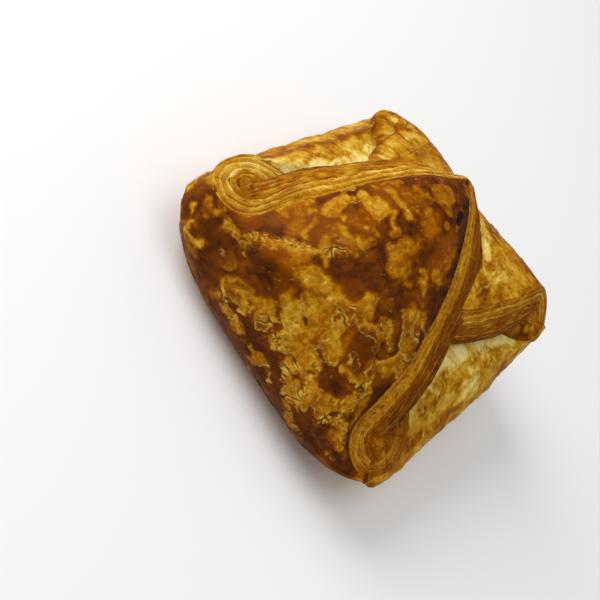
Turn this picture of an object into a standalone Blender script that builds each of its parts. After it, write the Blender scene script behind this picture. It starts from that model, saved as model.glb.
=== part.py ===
"""A baked puff pastry envelope: a square of laminated dough whose four corners are folded in.

The side flaps lie lowest, the back flap over them and the front flap on top, with its tip
past the middle. Each flap rises from the base, bulges out in a roll and runs up to its tip.
At every corner of the pastry two flaps meet in a U-shaped fold that shows the cut layers.
The pastry is one closed solid on a flat base.

Sizes in the tables are millimetres. Front is -Y, right is +X and up is +Z.
"""
import math
from dataclasses import dataclass

import bmesh
import bpy
import numpy as np
from mathutils import Vector

MM = 0.001                 # metres in a millimetre

# Rolls and rims
WIDEST = 15.0              # height at which a roll is widest, between the corners
BASE_INSET = 10.0          # how far the flat base stays inside the roll
ROLL_FOOT = ((0.7, 0.0), (0.0, 0.6))      # handles of the curve under a roll: shares of its inset and height
CORNER_FOOT = ((0.8, 0.15), (0.3, 0.6))   # and of the straighter one under a corner
ARC = 105.0                # degrees that a rim turns round its corner's pivot, to each side
SLIT = 1.0                 # radius of the slit that is left at a pivot
LIP = 3.0                  # height of the outer edge of a cut face
UNDERCUT = 1.5             # how far that edge leans back under the flap
ROOT_DEPTH = 4.0           # how far a flap's column reaches below the base before the trim
ROOT_PULL = 0.8            # its root's distance from the middle, as a share of the cut face's
FOOT_PULL = 0.9            # the same for the line behind a tucked foot, as a share of the wall's
FLAP_ARCH = 2.3            # exponent of a flap's arch from edge to edge
WALL_SQUARE = 16.0         # greatest exponent of a wall's plan, where its corners are tightest
SETTLE = 0.10              # share of a flap over which the square plan turns into the arch

# Sampling and fusing
ROWS_LOW = 8
ROWS_HIGH = 64
COLUMNS = 49
CURVE_POINTS = 160
VOXEL = 1.0                # size of the grid on which the flaps fuse
SMOOTH_PASSES = 6
FACES = 9400               # triangles that are kept
TRIM = 0.8                 # height of the cut that makes the base flat

CRUST_COLOUR = (0.46, 0.20, 0.045, 1.0)
CRUST_ROUGHNESS = 0.48


@dataclass
class Corner:
    """Where two flaps fold round a vertical pivot."""
    at: tuple              # pivot, x and y
    turn: float            # direction in which the corner points, in degrees
    wall: float            # radius of the wall where it is widest
    widest: float          # height there
    foot: float            # how far the base stays inside the wall
    rim: float             # radius of the rim
    low: float             # rim height at the corner itself
    arms: tuple            # rim height where an edge leaves it: of the flap before it and after it
    heart: float           # height of the cut layers at the pivot


@dataclass
class Flap:
    """One folded corner of the dough, from the base to its tip."""
    left: str
    right: str
    out: tuple             # widest point of the roll, x and y
    crown: tuple           # two handles of the curve from there to the tip
    left_edge: tuple       # two handles of the free edge from the left corner to the tip
    right_edge: tuple
    tip: tuple
    left_band: tuple       # cut face: width low on the edge, halfway and at the tip, and its drop
    right_band: tuple


CORNERS = {
    "front_left": Corner((-42.5, -36.5), 225.0, 13.0, 17.0, 11.5, 11.5, 28.0, (33.0, 33.0), 33.0),
    "front_right": Corner((41.5, -36.5), 315.0, 12.5, 21.0, 21.0, 11.0, 20.0, (27.0, 27.0), 27.0),
    "back_right": Corner((36.5, 37.5), 45.0, 14.5, 18.0, 13.0, 8.5, 41.0, (37.0, 51.0), 42.0),
    "back_left": Corner((-37.5, 35.5), 135.0, 11.5, 18.0, 13.0, 10.0, 33.0, (42.0, 31.0), 38.0),
}

FLAPS = {
    "left": Flap("back_left", "front_left", (-51.0, 0.0),
                 ((-52.0, 0.0, 36.0), (-38.0, 0.0, 44.0)),
                 ((-34.0, 20.0, 38.0), (-14.0, 4.0, 39.0)),
                 ((-38.0, -22.0, 36.0), (-16.0, -6.0, 38.0)), (-4.0, 0.0, 39.0),
                 (9.0, 8.0, 4.0, 6.0), (9.0, 8.0, 4.0, 6.0)),
    "right": Flap("front_right", "back_right", (53.5, 0.0),
                  ((54.5, 0.0, 33.0), (36.0, 2.0, 41.0)),
                  ((36.0, -20.0, 31.0), (14.0, -4.0, 37.0)),
                  ((32.0, 22.0, 38.0), (14.0, 8.0, 38.0)), (4.0, 2.0, 38.0),
                  (9.0, 8.0, 4.0, 6.0), (9.0, 8.0, 4.0, 6.0)),
    "back": Flap("back_right", "back_left", (0.0, 50.0),
                 ((0.0, 52.0, 57.0), (0.0, 26.0, 54.0)),
                 ((29.0, 26.0, 50.0), (29.0, 0.0, 48.0)),
                 ((-31.0, 26.0, 44.0), (-30.0, -2.0, 44.0)), (2.0, -24.0, 45.0),
                 (9.0, 8.0, 4.0, 7.0), (8.0, 7.0, 4.0, 6.0)),
    "front": Flap("front_left", "front_right", (0.0, -52.0),
                  ((0.0, -52.0, 45.0), (-4.0, -22.0, 60.0)),
                  ((-31.5, -30.0, 47.0), (-22.0, 4.0, 57.0)),
                  ((33.0, -30.0, 41.0), (11.0, 8.0, 57.0)), (-12.6, 24.0, 58.5),
                  (11.0, 9.0, 4.0, 6.0), (11.5, 12.5, 7.0, 4.0)),
}


def ease(value):
    """Smooth step from 0 to 1."""
    value = np.clip(value, 0.0, 1.0)
    return value * value * (3.0 - 2.0 * value)


def bezier(start, handle_a, handle_b, end):
    """Points along a cubic curve."""
    t = np.linspace(0.0, 1.0, CURVE_POINTS)[:, None]
    s = 1.0 - t
    ends = s ** 3 * np.array(start) + t ** 3 * np.array(end)
    return ends + 3.0 * s * s * t * np.array(handle_a) + 3.0 * s * t * t * np.array(handle_b)


def distances(path):
    """Length of the path up to each of its points."""
    return np.append(0.0, np.cumsum(np.linalg.norm(np.diff(path, axis=0), axis=1)))


def along(path, shares):
    """Points at the given shares of a path's length."""
    travelled = distances(path)
    wanted = np.asarray(shares) * travelled[-1]
    return np.stack([np.interp(wanted, travelled, path[:, k]) for k in range(3)], axis=-1)


def round_pivot(corner, angle, radius, height):
    """Points round a corner's pivot; any argument may be an array."""
    turn = np.radians(angle)
    x = corner.at[0] + radius * np.cos(turn)
    y = corner.at[1] + radius * np.sin(turn)
    return np.stack(np.broadcast_arrays(x, y, height), axis=-1)


def foot_curve(inset, height, handles):
    """Inset and height from the base out to the widest line."""
    handle_a, handle_b = ((share_in * inset, 0.0, share_up * height) for share_in, share_up in handles)
    curve = bezier((inset, 0.0, 0.0), handle_a, handle_b, (0.0, 0.0, height))
    return curve[:, 0], curve[:, 2]


def corner_wall(corner):
    """The line on which two flaps join: from the base to the widest point, and on to the rim."""
    inset, height = foot_curve(corner.foot, corner.widest, CORNER_FOOT)
    low = round_pivot(corner, corner.turn, corner.wall - inset, height)
    t = np.linspace(0.0, math.pi / 2, CURVE_POINTS)
    radius = corner.rim + (corner.wall - corner.rim) * np.cos(t)
    high = round_pivot(corner, corner.turn, radius, corner.widest + (corner.low - corner.widest) * np.sin(t))
    return low, high


def column_behind(corner, wall_point):
    """The point behind a wall: level on the pivot, or nearer the middle where the foot is tucked in."""
    pivot = np.array([*corner.at, wall_point[2]])
    tucked = wall_point * np.array([FOOT_PULL, FOOT_PULL, 1.0])
    return min(pivot, tucked, key=lambda point: np.linalg.norm(point[:2]))


def rim_arc(corner, side):
    """The rim round the pivot, from the corner to where the flap's edge leaves it."""
    share = np.linspace(0.0, 1.0, CURVE_POINTS)
    arm = corner.arms[1] if side > 0.0 else corner.arms[0]
    height = corner.low + (arm - corner.low) * share ** 1.4
    return round_pivot(corner, corner.turn + side * ARC * share, corner.rim, height)


class Side:
    """One side of a flap: the corner wall, the rim round the pivot and the free edge."""

    def __init__(self, flap, is_left):
        self.corner = CORNERS[flap.left if is_left else flap.right]
        self.side = 1.0 if is_left else -1.0
        handles = flap.left_edge if is_left else flap.right_edge
        self.band = flap.left_band if is_left else flap.right_band
        self.arm = self.corner.arms[1] if is_left else self.corner.arms[0]
        self.low, wall = corner_wall(self.corner)
        arc = rim_arc(self.corner, self.side)
        edge = bezier(arc[-1], *handles, flap.tip)
        self.high = np.vstack([wall, arc[1:], edge[1:]])
        total = distances(self.high)[-1]
        self.rim_share = distances(wall)[-1] / total
        self.edge_share = self.rim_share + distances(arc)[-1] / total

    def cut_face(self, share):
        """Outer and under edge of the cut face at a share of the upper curve."""
        step = 0.004
        here, ahead, behind = along(self.high, [share, min(share + step, 1.0), max(share - step, 0.0)])
        if share < self.rim_share:
            behind_wall = column_behind(self.corner, here)
            return behind_wall, behind_wall
        direction = (ahead - behind)[:2] / np.linalg.norm((ahead - behind)[:2])
        outward = self.side * np.array([-direction[1], direction[0], 0.0])
        free = (share - self.edge_share) / (1.0 - self.edge_share)
        stations = (0.0, 0.3, 0.75, 1.0)
        low_width, mid_width, tip_width, drop = self.band
        width = np.interp(free, stations, (self.corner.rim - SLIT, low_width, mid_width, tip_width))
        fall = np.interp(free, stations, (self.arm - self.corner.heart, drop, drop, drop))
        top = self.corner.heart if free < 0.0 else here[2] - fall
        outer = here + outward * width
        outer[2] = top
        under = here + outward * (width - UNDERCUT)
        under[2] = top - LIP
        return outer, under


def crown_line(flap):
    """The flap's middle line: from the base to the widest point, and on to the tip."""
    out = np.array([*flap.out, 0.0])
    inward = -out / np.linalg.norm(out)
    inset, height = foot_curve(BASE_INSET, WIDEST, ROLL_FOOT)
    low = out + inward * inset[:, None] + np.array([0.0, 0.0, 1.0]) * height[:, None]
    return low, bezier((*flap.out, WIDEST), *flap.crown, flap.tip)


def wall_exponent(left, right, middle):
    """Exponent that makes a wall's plan meet its neighbours' without a crease."""
    half = np.linalg.norm((right - left)[:2]) / 2
    bulge = np.linalg.norm((middle - (left + right) / 2)[:2])
    return min(max(half / max(bulge, 1e-6), 2.0), WALL_SQUARE)


def row_points(left, right, middle, exponent):
    """A row of the flap: the chord between its sides, raised to the crown."""
    b = np.linspace(-1.0, 1.0, COLUMNS)[:, None]
    chord = left * (1.0 - b) / 2 + right * (1.0 + b) / 2
    return chord + (middle - (left + right) / 2) * (1.0 - np.abs(b) ** exponent)


def root_below(face):
    """The point below a cut face at which the flap's column ends."""
    x, y, _ = face[1] * ROOT_PULL
    return np.array([x, y, -ROOT_DEPTH])


def flap_rows(flap):
    """Closed rows round a flap's column, from the base to the tip."""
    left, right = Side(flap, True), Side(flap, False)
    crown_low, crown_high = crown_line(flap)
    rim = (left.rim_share + right.rim_share) / 2
    edge = (left.edge_share + right.edge_share) / 2
    exponent = WALL_SQUARE
    rows = []
    for index in range(ROWS_LOW + ROWS_HIGH + 1):
        upper = index >= ROWS_LOW
        share = (index - ROWS_LOW) / ROWS_HIGH if upper else index / ROWS_LOW
        paths = (left.high, right.high, crown_high) if upper else (left.low, right.low, crown_low)
        ends = [along(path, [share])[0] for path in paths]
        if not upper or share < rim:
            exponent = wall_exponent(*ends)
        settled = ease((share - rim) / (edge - rim + SETTLE)) if upper else 0.0
        skin = row_points(*ends, exponent * (1.0 - settled) + FLAP_ARCH * settled)
        face_left = left.cut_face(share) if upper else (column_behind(left.corner, ends[0]),) * 2
        face_right = right.cut_face(share) if upper else (column_behind(right.corner, ends[1]),) * 2
        rows.append(np.vstack([root_below(face_left), face_left[1], face_left[0], skin,
                               face_right[0], face_right[1], root_below(face_right)]))
    return rows


def add_column(mesh, rows):
    """Skin closed rows with faces and cap both ends."""
    rings = [[mesh.verts.new(Vector(point) * MM) for point in row] for row in rows]
    count = len(rings[0])
    for ring, above in zip(rings, rings[1:]):
        for k in range(count):
            after = (k + 1) % count
            mesh.faces.new((ring[k], ring[after], above[after], above[k]))
    mesh.faces.new(list(reversed(rings[0])))
    mesh.faces.new(rings[-1])


def flaps_object():
    """All four flaps as overlapping closed columns in one object."""
    shape = bmesh.new()
    for flap in FLAPS.values():
        column = bmesh.new()
        add_column(column, flap_rows(flap))
        bmesh.ops.remove_doubles(column, verts=column.verts, dist=1e-6)
        bmesh.ops.recalc_face_normals(column, faces=column.faces)
        part = bpy.data.meshes.new("column")
        column.to_mesh(part)
        column.free()
        shape.from_mesh(part)
        bpy.data.meshes.remove(part)
    mesh = bpy.data.meshes.new("flaps")
    shape.to_mesh(mesh)
    shape.free()
    flaps = bpy.data.objects.new("flaps", mesh)
    bpy.context.scene.collection.objects.link(flaps)
    return flaps


def evaluated_mesh(source):
    """The object's mesh with its modifiers applied."""
    view = bpy.context.evaluated_depsgraph_get()
    return bpy.data.meshes.new_from_object(source.evaluated_get(view))


def fuse(source):
    """One skin over the overlapping columns, rounded where they meet, with FACES triangles."""
    remesh = source.modifiers.new("fuse", "REMESH")
    remesh.mode = "VOXEL"
    remesh.voxel_size = VOXEL * MM
    soften = source.modifiers.new("soften", "SMOOTH")
    soften.iterations = SMOOTH_PASSES
    quads = len(evaluated_mesh(source).polygons)
    thin = source.modifiers.new("thin", "DECIMATE")
    thin.ratio = FACES / (2 * quads)
    thin.use_collapse_triangulate = True
    return evaluated_mesh(source)


def connected(start):
    """The vertices that hang together with one vertex."""
    found = {start}
    waiting = [start]
    while waiting:
        for edge in waiting.pop().link_edges:
            for vertex in edge.verts:
                if vertex not in found:
                    found.add(vertex)
                    waiting.append(vertex)
    return found


def keep_largest(shape):
    """Drop any inner shell that fusing left."""
    left_over = set(shape.verts)
    shells = []
    while left_over:
        shell = connected(next(iter(left_over)))
        shells.append(shell)
        left_over -= shell
    largest = max(shells, key=len)
    inner = [vertex for vertex in shape.verts if vertex not in largest]
    bmesh.ops.delete(shape, geom=inner, context="VERTS")


def flatten_base(shape):
    """Cut the underside off level and put it at height 0, below the middle of the pastry."""
    everything = list(shape.verts) + list(shape.edges) + list(shape.faces)
    cut = bmesh.ops.bisect_plane(shape, geom=everything, plane_co=(0.0, 0.0, TRIM * MM),
                                 plane_no=(0.0, 0.0, 1.0), clear_inner=True, dist=1e-6)
    rim = [item for item in cut["geom_cut"] if isinstance(item, bmesh.types.BMEdge)]
    filled = bmesh.ops.contextual_create(shape, geom=rim)
    bmesh.ops.triangulate(shape, faces=filled["faces"])
    bmesh.ops.recalc_face_normals(shape, faces=shape.faces)
    places = np.array([vertex.co for vertex in shape.verts])
    middle = (places.min(axis=0) + places.max(axis=0)) / 2
    bmesh.ops.translate(shape, vec=(-middle[0], -middle[1], -TRIM * MM), verts=shape.verts)


def crust_material():
    material = bpy.data.materials.new("crust")
    material.use_nodes = True
    shader = material.node_tree.nodes["Principled BSDF"]
    shader.inputs["Base Color"].default_value = CRUST_COLOUR
    shader.inputs["Roughness"].default_value = CRUST_ROUGHNESS
    return material


def build():
    for old in list(bpy.data.objects):
        bpy.data.objects.remove(old, do_unlink=True)
    flaps = flaps_object()
    shape = bmesh.new()
    shape.from_mesh(fuse(flaps))
    bpy.data.objects.remove(flaps, do_unlink=True)
    keep_largest(shape)
    flatten_base(shape)
    mesh = bpy.data.meshes.new("pastry")
    shape.to_mesh(mesh)
    shape.free()
    mesh.materials.append(crust_material())
    mesh.shade_smooth()
    pastry = bpy.data.objects.new("pastry", mesh)
    bpy.context.scene.collection.objects.link(pastry)


build()
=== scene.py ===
"""Looks of the puff pastry envelope: glazed, blistered crust over laminated cut edges.

The dough is built here as it is folded: four flaps, each a sheet from the base over its roll to
its tip, and the cut edges that run round them. Relief and browning are worked out together for
every point of a sheet, so a blister is raised where it is golden, and cracks, pits, creases and
the gaps between layers are lowered and painted near black as shade where they are deep. Sizes are
millimetres until a mesh is made. Front is -Y, right is +X and up is +Z.
"""

import math
from dataclasses import dataclass
from itertools import product

import bpy
import numpy as np
from mathutils import Matrix, Vector


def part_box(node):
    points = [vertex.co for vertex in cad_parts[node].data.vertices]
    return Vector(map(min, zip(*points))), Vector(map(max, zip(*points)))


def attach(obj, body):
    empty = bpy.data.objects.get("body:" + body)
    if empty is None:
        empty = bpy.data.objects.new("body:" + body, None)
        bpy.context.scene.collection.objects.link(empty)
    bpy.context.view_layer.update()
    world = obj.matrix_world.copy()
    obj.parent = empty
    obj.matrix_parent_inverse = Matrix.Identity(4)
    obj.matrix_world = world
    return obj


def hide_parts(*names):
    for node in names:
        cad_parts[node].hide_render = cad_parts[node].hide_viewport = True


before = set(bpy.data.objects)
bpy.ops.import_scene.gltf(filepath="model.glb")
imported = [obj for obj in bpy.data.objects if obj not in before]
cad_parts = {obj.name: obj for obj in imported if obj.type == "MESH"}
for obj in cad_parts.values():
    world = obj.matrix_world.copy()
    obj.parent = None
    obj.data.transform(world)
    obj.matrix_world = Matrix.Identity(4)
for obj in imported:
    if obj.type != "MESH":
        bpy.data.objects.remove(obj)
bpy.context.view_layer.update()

MM = 0.001

# ---------------------------------------------------------------- the folded dough, as in the CAD
WIDEST = 15.0              # height at which a roll is widest, between the corners
BASE_INSET = 10.0          # how far the flat base stays inside the roll
ROLL_FOOT = ((0.7, 0.0), (0.0, 0.6))      # handles of the curve under a roll: shares of its inset and height
CORNER_FOOT = ((0.8, 0.15), (0.3, 0.6))   # and of the straighter one under a corner
ARC = 105.0                # degrees that a rim turns round its corner's pivot, to each side
SLIT = 1.0                 # radius of the slit that is left at a pivot
FLAP_ARCH = 2.3            # exponent of a flap's arch from edge to edge
WALL_SQUARE = 16.0         # greatest exponent of a wall's plan, where its corners are tightest
SETTLE = 0.10              # share of a flap over which the square plan turns into the arch
TRIM = 0.8                 # height of the cut that makes the base flat
CURVE_POINTS = 240
EASE_PASSES = 140          # how far the bends of a flap's edge are eased
OUTER_PASSES = 120         # and those of its cut face's outer edge


@dataclass
class Corner:
    """Where two flaps fold round a vertical pivot."""
    at: tuple              # pivot, x and y
    turn: float            # direction in which the corner points, in degrees
    wall: float            # radius of the wall where it is widest
    widest: float          # height there
    foot: float            # how far the base stays inside the wall
    rim: float             # radius of the rim
    low: float             # rim height at the corner itself
    arms: tuple            # rim height where an edge leaves it: of the flap before it and after it
    heart: float           # height of the cut layers at the pivot


@dataclass
class Flap:
    """One folded corner of the dough, from the base to its tip."""
    left: str
    right: str
    out: tuple             # widest point of the roll, x and y
    crown: tuple           # two handles of the curve from there to the tip
    left_edge: tuple       # two handles of the free edge from the left corner to the tip
    right_edge: tuple
    tip: tuple
    left_band: tuple       # cut face: width low on the edge, halfway and at the tip, and its drop
    right_band: tuple


CORNERS = {
    "front_left": Corner((-42.5, -36.5), 225.0, 13.0, 17.0, 11.5, 11.5, 28.0, (33.0, 33.0), 33.0),
    "front_right": Corner((41.5, -36.5), 315.0, 12.5, 21.0, 21.0, 11.0, 20.0, (27.0, 27.0), 27.0),
    "back_right": Corner((36.5, 37.5), 45.0, 14.5, 18.0, 13.0, 8.5, 41.0, (37.0, 51.0), 42.0),
    "back_left": Corner((-37.5, 35.5), 135.0, 11.5, 18.0, 13.0, 10.0, 33.0, (42.0, 31.0), 38.0),
}

FLAPS = {
    "left": Flap("back_left", "front_left", (-51.0, 0.0),
                 ((-52.0, 0.0, 36.0), (-38.0, 0.0, 44.0)),
                 ((-34.0, 20.0, 38.0), (-14.0, 4.0, 39.0)),
                 ((-38.0, -22.0, 36.0), (-16.0, -6.0, 38.0)), (-4.0, 0.0, 39.0),
                 (9.0, 8.0, 4.0, 6.0), (9.0, 8.0, 4.0, 6.0)),
    "right": Flap("front_right", "back_right", (53.5, 0.0),
                  ((54.5, 0.0, 33.0), (36.0, 2.0, 41.0)),
                  ((36.0, -20.0, 31.0), (14.0, -4.0, 37.0)),
                  ((32.0, 22.0, 38.0), (14.0, 8.0, 38.0)), (4.0, 2.0, 38.0),
                  (9.0, 8.0, 4.0, 6.0), (9.0, 8.0, 4.0, 6.0)),
    "back": Flap("back_right", "back_left", (0.0, 50.0),
                 ((0.0, 52.0, 57.0), (0.0, 26.0, 54.0)),
                 ((29.0, 26.0, 50.0), (29.0, 0.0, 48.0)),
                 ((-31.0, 26.0, 44.0), (-30.0, -2.0, 44.0)), (2.0, -24.0, 45.0),
                 (9.0, 8.0, 4.0, 7.0), (8.0, 7.0, 4.0, 6.0)),
    "front": Flap("front_left", "front_right", (0.0, -52.0),
                  ((0.0, -52.0, 45.0), (-4.0, -22.0, 60.0)),
                  ((-31.5, -30.0, 47.0), (-22.0, 4.0, 57.0)),
                  ((33.0, -30.0, 41.0), (11.0, 8.0, 57.0)), (-12.6, 24.0, 58.5),
                  (11.0, 9.0, 4.0, 6.0), (11.5, 12.5, 7.0, 4.0)),
}


def ease(value):
    """Smooth step from 0 to 1."""
    value = np.clip(value, 0.0, 1.0)
    return value * value * (3.0 - 2.0 * value)


def blend(low, high, share):
    return low + (high - low) * share


def unit(vectors):
    """The same directions with length 1."""
    return vectors / np.maximum(np.linalg.norm(vectors, axis=-1, keepdims=True), 1e-9)


def bezier(start, handle_a, handle_b, end):
    """Points along a cubic curve."""
    t = np.linspace(0.0, 1.0, CURVE_POINTS)[:, None]
    s = 1.0 - t
    ends = s ** 3 * np.array(start) + t ** 3 * np.array(end)
    return ends + 3.0 * s * s * t * np.array(handle_a) + 3.0 * s * t * t * np.array(handle_b)


def distances(path):
    """Length of the path up to each of its points."""
    return np.append(0.0, np.cumsum(np.linalg.norm(np.diff(path, axis=0), axis=1)))


def along(path, shares):
    """Points at the given shares of a path's length."""
    travelled = distances(path)
    wanted = np.asarray(shares) * travelled[-1]
    return np.stack([np.interp(wanted, travelled, path[:, k]) for k in range(3)], axis=-1)


def round_pivot(corner, angle, radius, height):
    """Points round a corner's pivot; any argument may be an array."""
    turn = np.radians(angle)
    x = corner.at[0] + radius * np.cos(turn)
    y = corner.at[1] + radius * np.sin(turn)
    return np.stack(np.broadcast_arrays(x, y, height), axis=-1)


def foot_curve(inset, height, handles):
    """Inset and height from the base out to the widest line."""
    handle_a, handle_b = ((share_in * inset, 0.0, share_up * height) for share_in, share_up in handles)
    curve = bezier((inset, 0.0, 0.0), handle_a, handle_b, (0.0, 0.0, height))
    return curve[:, 0], curve[:, 2]


def corner_wall(corner):
    """The line on which two flaps join: from the base to the widest point, and on to the rim."""
    inset, height = foot_curve(corner.foot, corner.widest, CORNER_FOOT)
    low = round_pivot(corner, corner.turn, corner.wall - inset, height)
    t = np.linspace(0.0, math.pi / 2, CURVE_POINTS)
    radius = corner.rim + (corner.wall - corner.rim) * np.cos(t)
    high = round_pivot(corner, corner.turn, radius, corner.widest + (corner.low - corner.widest) * np.sin(t))
    return low, high


def rim_arc(corner, side):
    """The rim round the pivot, from the corner to where the flap's edge leaves it."""
    share = np.linspace(0.0, 1.0, CURVE_POINTS)
    arm = corner.arms[1] if side > 0.0 else corner.arms[0]
    height = corner.low + (arm - corner.low) * share ** 1.4
    return round_pivot(corner, corner.turn + side * ARC * share, corner.rim, height)


def eased_path(path):
    """A path with its bends eased and its ends kept."""
    even = along(path, np.linspace(0.0, 1.0, CURVE_POINTS))
    for _ in range(EASE_PASSES):
        even[1:-1] += 0.5 * ((even[:-2] + even[2:]) / 2 - even[1:-1])
    return even


class Side:
    """One side of a flap: the corner wall, the rim round the pivot and the free edge."""

    def __init__(self, flap, is_left):
        self.corner = CORNERS[flap.left if is_left else flap.right]
        self.side = 1.0 if is_left else -1.0
        handles = flap.left_edge if is_left else flap.right_edge
        self.band = flap.left_band if is_left else flap.right_band
        self.arm = self.corner.arms[1] if is_left else self.corner.arms[0]
        self.low, wall = corner_wall(self.corner)
        arc = rim_arc(self.corner, self.side)
        edge = bezier(arc[-1], *handles, flap.tip)
        rim = eased_path(np.vstack([arc, edge[1:]]))
        self.high = np.vstack([wall, rim[1:]])
        length = distances(self.high)[-1]
        self.rim_share = distances(wall)[-1] / length
        self.edge_share = self.rim_share + distances(arc)[-1] / length

    def cut_face(self, shares):
        """For each share of the upper curve from the rim on: rim, outward direction, outer edge of the cut face."""
        step = 0.004
        here = along(self.high, shares)
        ahead = along(self.high, np.minimum(shares + step, 1.0))
        behind = along(self.high, np.maximum(shares - step, self.rim_share))
        direction = unit((ahead - behind)[:, :2])
        outward = self.side * np.stack([-direction[:, 1], direction[:, 0], 0.0 * direction[:, 0]], axis=-1)
        free = (shares - self.edge_share) / (1.0 - self.edge_share)
        stations = (0.0, 0.3, 0.75, 1.0)
        low_width, mid_width, tip_width, drop = self.band
        width = np.interp(free, stations, (self.corner.rim - SLIT, low_width, mid_width, tip_width))
        fall = np.interp(free, stations, (self.arm - self.corner.heart, drop, drop, drop))
        outer = here + outward * width[:, None]
        outer[:, 2] = np.where(free < 0.0, self.corner.heart, here[:, 2] - fall)
        if len(outer) > 2:
            outer = np.array(outer)
            for _ in range(OUTER_PASSES):
                outer[1:-1] += 0.5 * ((outer[:-2] + outer[2:]) / 2 - outer[1:-1])
        return here, outward, outer


def crown_line(flap):
    """The flap's middle line: from the base to the widest point, and on to the tip."""
    out = np.array([*flap.out, 0.0])
    inward = -out / np.linalg.norm(out)
    inset, height = foot_curve(BASE_INSET, WIDEST, ROLL_FOOT)
    low = out + inward * inset[:, None] + np.array([0.0, 0.0, 1.0]) * height[:, None]
    return low, bezier((*flap.out, WIDEST), *flap.crown, flap.tip)


def flap_grid(flap, rows_low, rows_high, columns):
    """The outer skin of a flap: rows from the base to the tip, columns from left to right."""
    left, right = Side(flap, True), Side(flap, False)
    crown_low, crown_high = crown_line(flap)
    low = np.arange(rows_low) / rows_low
    high = np.linspace(0.0, 1.0, rows_high)
    ends = [np.vstack([along(a, low), along(b, high)]) for a, b in
            ((left.low, left.high), (right.low, right.high), (crown_low, crown_high))]
    at_left, at_right, at_crown = ends
    half = np.linalg.norm((at_right - at_left)[:, :2], axis=1) / 2
    bulge = np.linalg.norm((at_crown - (at_left + at_right) / 2)[:, :2], axis=1)
    square = np.clip(half / np.maximum(bulge, 1e-6), 2.0, WALL_SQUARE)
    rim = (left.rim_share + right.rim_share) / 2
    edge = (left.edge_share + right.edge_share) / 2
    share = np.append(np.zeros(rows_low), high)
    last_wall = rows_low + int(np.searchsorted(high, rim)) - 1
    square[last_wall:] = square[last_wall]
    settled = ease((share - rim) / (edge - rim + SETTLE))
    exponent = blend(square, FLAP_ARCH, settled)[:, None, None]
    b = np.linspace(-1.0, 1.0, columns)[None, :, None]
    chord = at_left[:, None] * (1.0 - b) / 2 + at_right[:, None] * (1.0 + b) / 2
    rise = (at_crown - (at_left + at_right) / 2)[:, None]
    return chord + rise * (1.0 - np.abs(b) ** exponent), left, right


# ---------------------------------------------------------------- noise
def scramble(cell, seed):
    """A whole number below 2**32 for each cell of a grid."""
    cell = cell.astype(np.int64)
    mixed = cell[..., 0] * 374761393 + cell[..., 1] * 668265263 + cell[..., 2] * 2246822519 + seed * 3266489917
    mixed = (mixed & 0xFFFFFFFF).astype(np.uint64)
    mixed = ((mixed ^ (mixed >> np.uint64(13))) * np.uint64(1274126177)) & np.uint64(0xFFFFFFFF)
    mixed = ((mixed ^ (mixed >> np.uint64(16))) * np.uint64(2654435761)) & np.uint64(0xFFFFFFFF)
    return mixed ^ (mixed >> np.uint64(15))


def chance(cell, seed):
    """A number from 0 to 1 for each cell of a grid."""
    return scramble(cell, seed).astype(float) / 4294967296.0


SLOPES = unit(np.array([v for v in product((-1.0, 0.0, 1.0), repeat=3) if 0 < np.abs(v).sum() < 3]))


def noise(points, seed):
    """Smooth noise from about -1 to 1, with features about one unit across."""
    cell = np.floor(points)
    local = points - cell
    fade = local ** 3 * (local * (local * 6.0 - 15.0) + 10.0)
    total = np.zeros(points.shape[:-1])
    for corner in product((0.0, 1.0), repeat=3):
        slope = SLOPES[(scramble(cell + corner, seed) % np.uint64(len(SLOPES))).astype(int)]
        weight = np.prod(np.where(np.array(corner) > 0.5, fade, 1.0 - fade), axis=-1)
        total += weight * np.sum(slope * (local - corner), axis=-1)
    return total * 1.9


def layered(points, size, octaves, seed, keep=0.5):
    """Noise with ever finer detail, the coarsest about size across."""
    total = np.zeros(points.shape[:-1])
    strength = 1.0
    reach = 0.0
    for k in range(octaves):
        total += strength * noise(points / size * 2.0 ** k + 17.3 * k, seed + k)
        reach += strength
        strength *= keep
    return total / reach


def cells(points, seed, jitter=0.9):
    """Distances to the nearest and second nearest of scattered points, one a unit, and the nearest's own number."""
    cell = np.floor(points)
    first = np.full(points.shape[:-1], 9.0)
    second = np.full(points.shape[:-1], 9.0)
    owner = np.zeros(points.shape[:-1])
    for offset in product((-1.0, 0.0, 1.0), repeat=3):
        other = cell + offset
        place = other + 0.5 + jitter * (np.stack([chance(other, seed + k) for k in range(3)], axis=-1) - 0.5)
        gap = np.linalg.norm(points - place, axis=-1)
        number = chance(other, seed + 3)
        closer = gap < first
        second = np.where(closer, first, np.minimum(second, gap))
        owner = np.where(closer, number, owner)
        first = np.where(closer, gap, first)
    return first, second, owner


def warped(points, size, amount, seed):
    """Points pushed about by noise, for ragged outlines."""
    push = np.stack([layered(points, size, 2, seed + 31 * k) for k in range(3)], axis=-1)
    return points + amount * push


def uneven(points):
    """How a baked dough strays from its ideal form."""
    wide = np.stack([noise(points / 34.0, 11 + k) for k in range(3)], axis=-1)
    near = np.stack([noise(points / 13.0, 21 + k) for k in range(3)], axis=-1)
    held = ease(points[..., 2:] / 8.0)
    return points + (1.1 * wide + 0.45 * near) * held


# ---------------------------------------------------------------- how each flap is baked
@dataclass
class Bake:
    """Browning of a flap, from 0, pale dough, to 1, burnt."""
    inner: float           # where the flap lies in another's shelter
    outer: float           # along the top of its roll
    shelter: tuple         # distance from the pastry's middle at which each of the two begins
    patch: float           # browning of its patches
    cover: float           # how much of it they cover, from -1 to 1
    streaks: float         # depth of the stretch marks, mm
    crisp: float           # 1 if its patches are torn plates, 0 if they are stains


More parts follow.
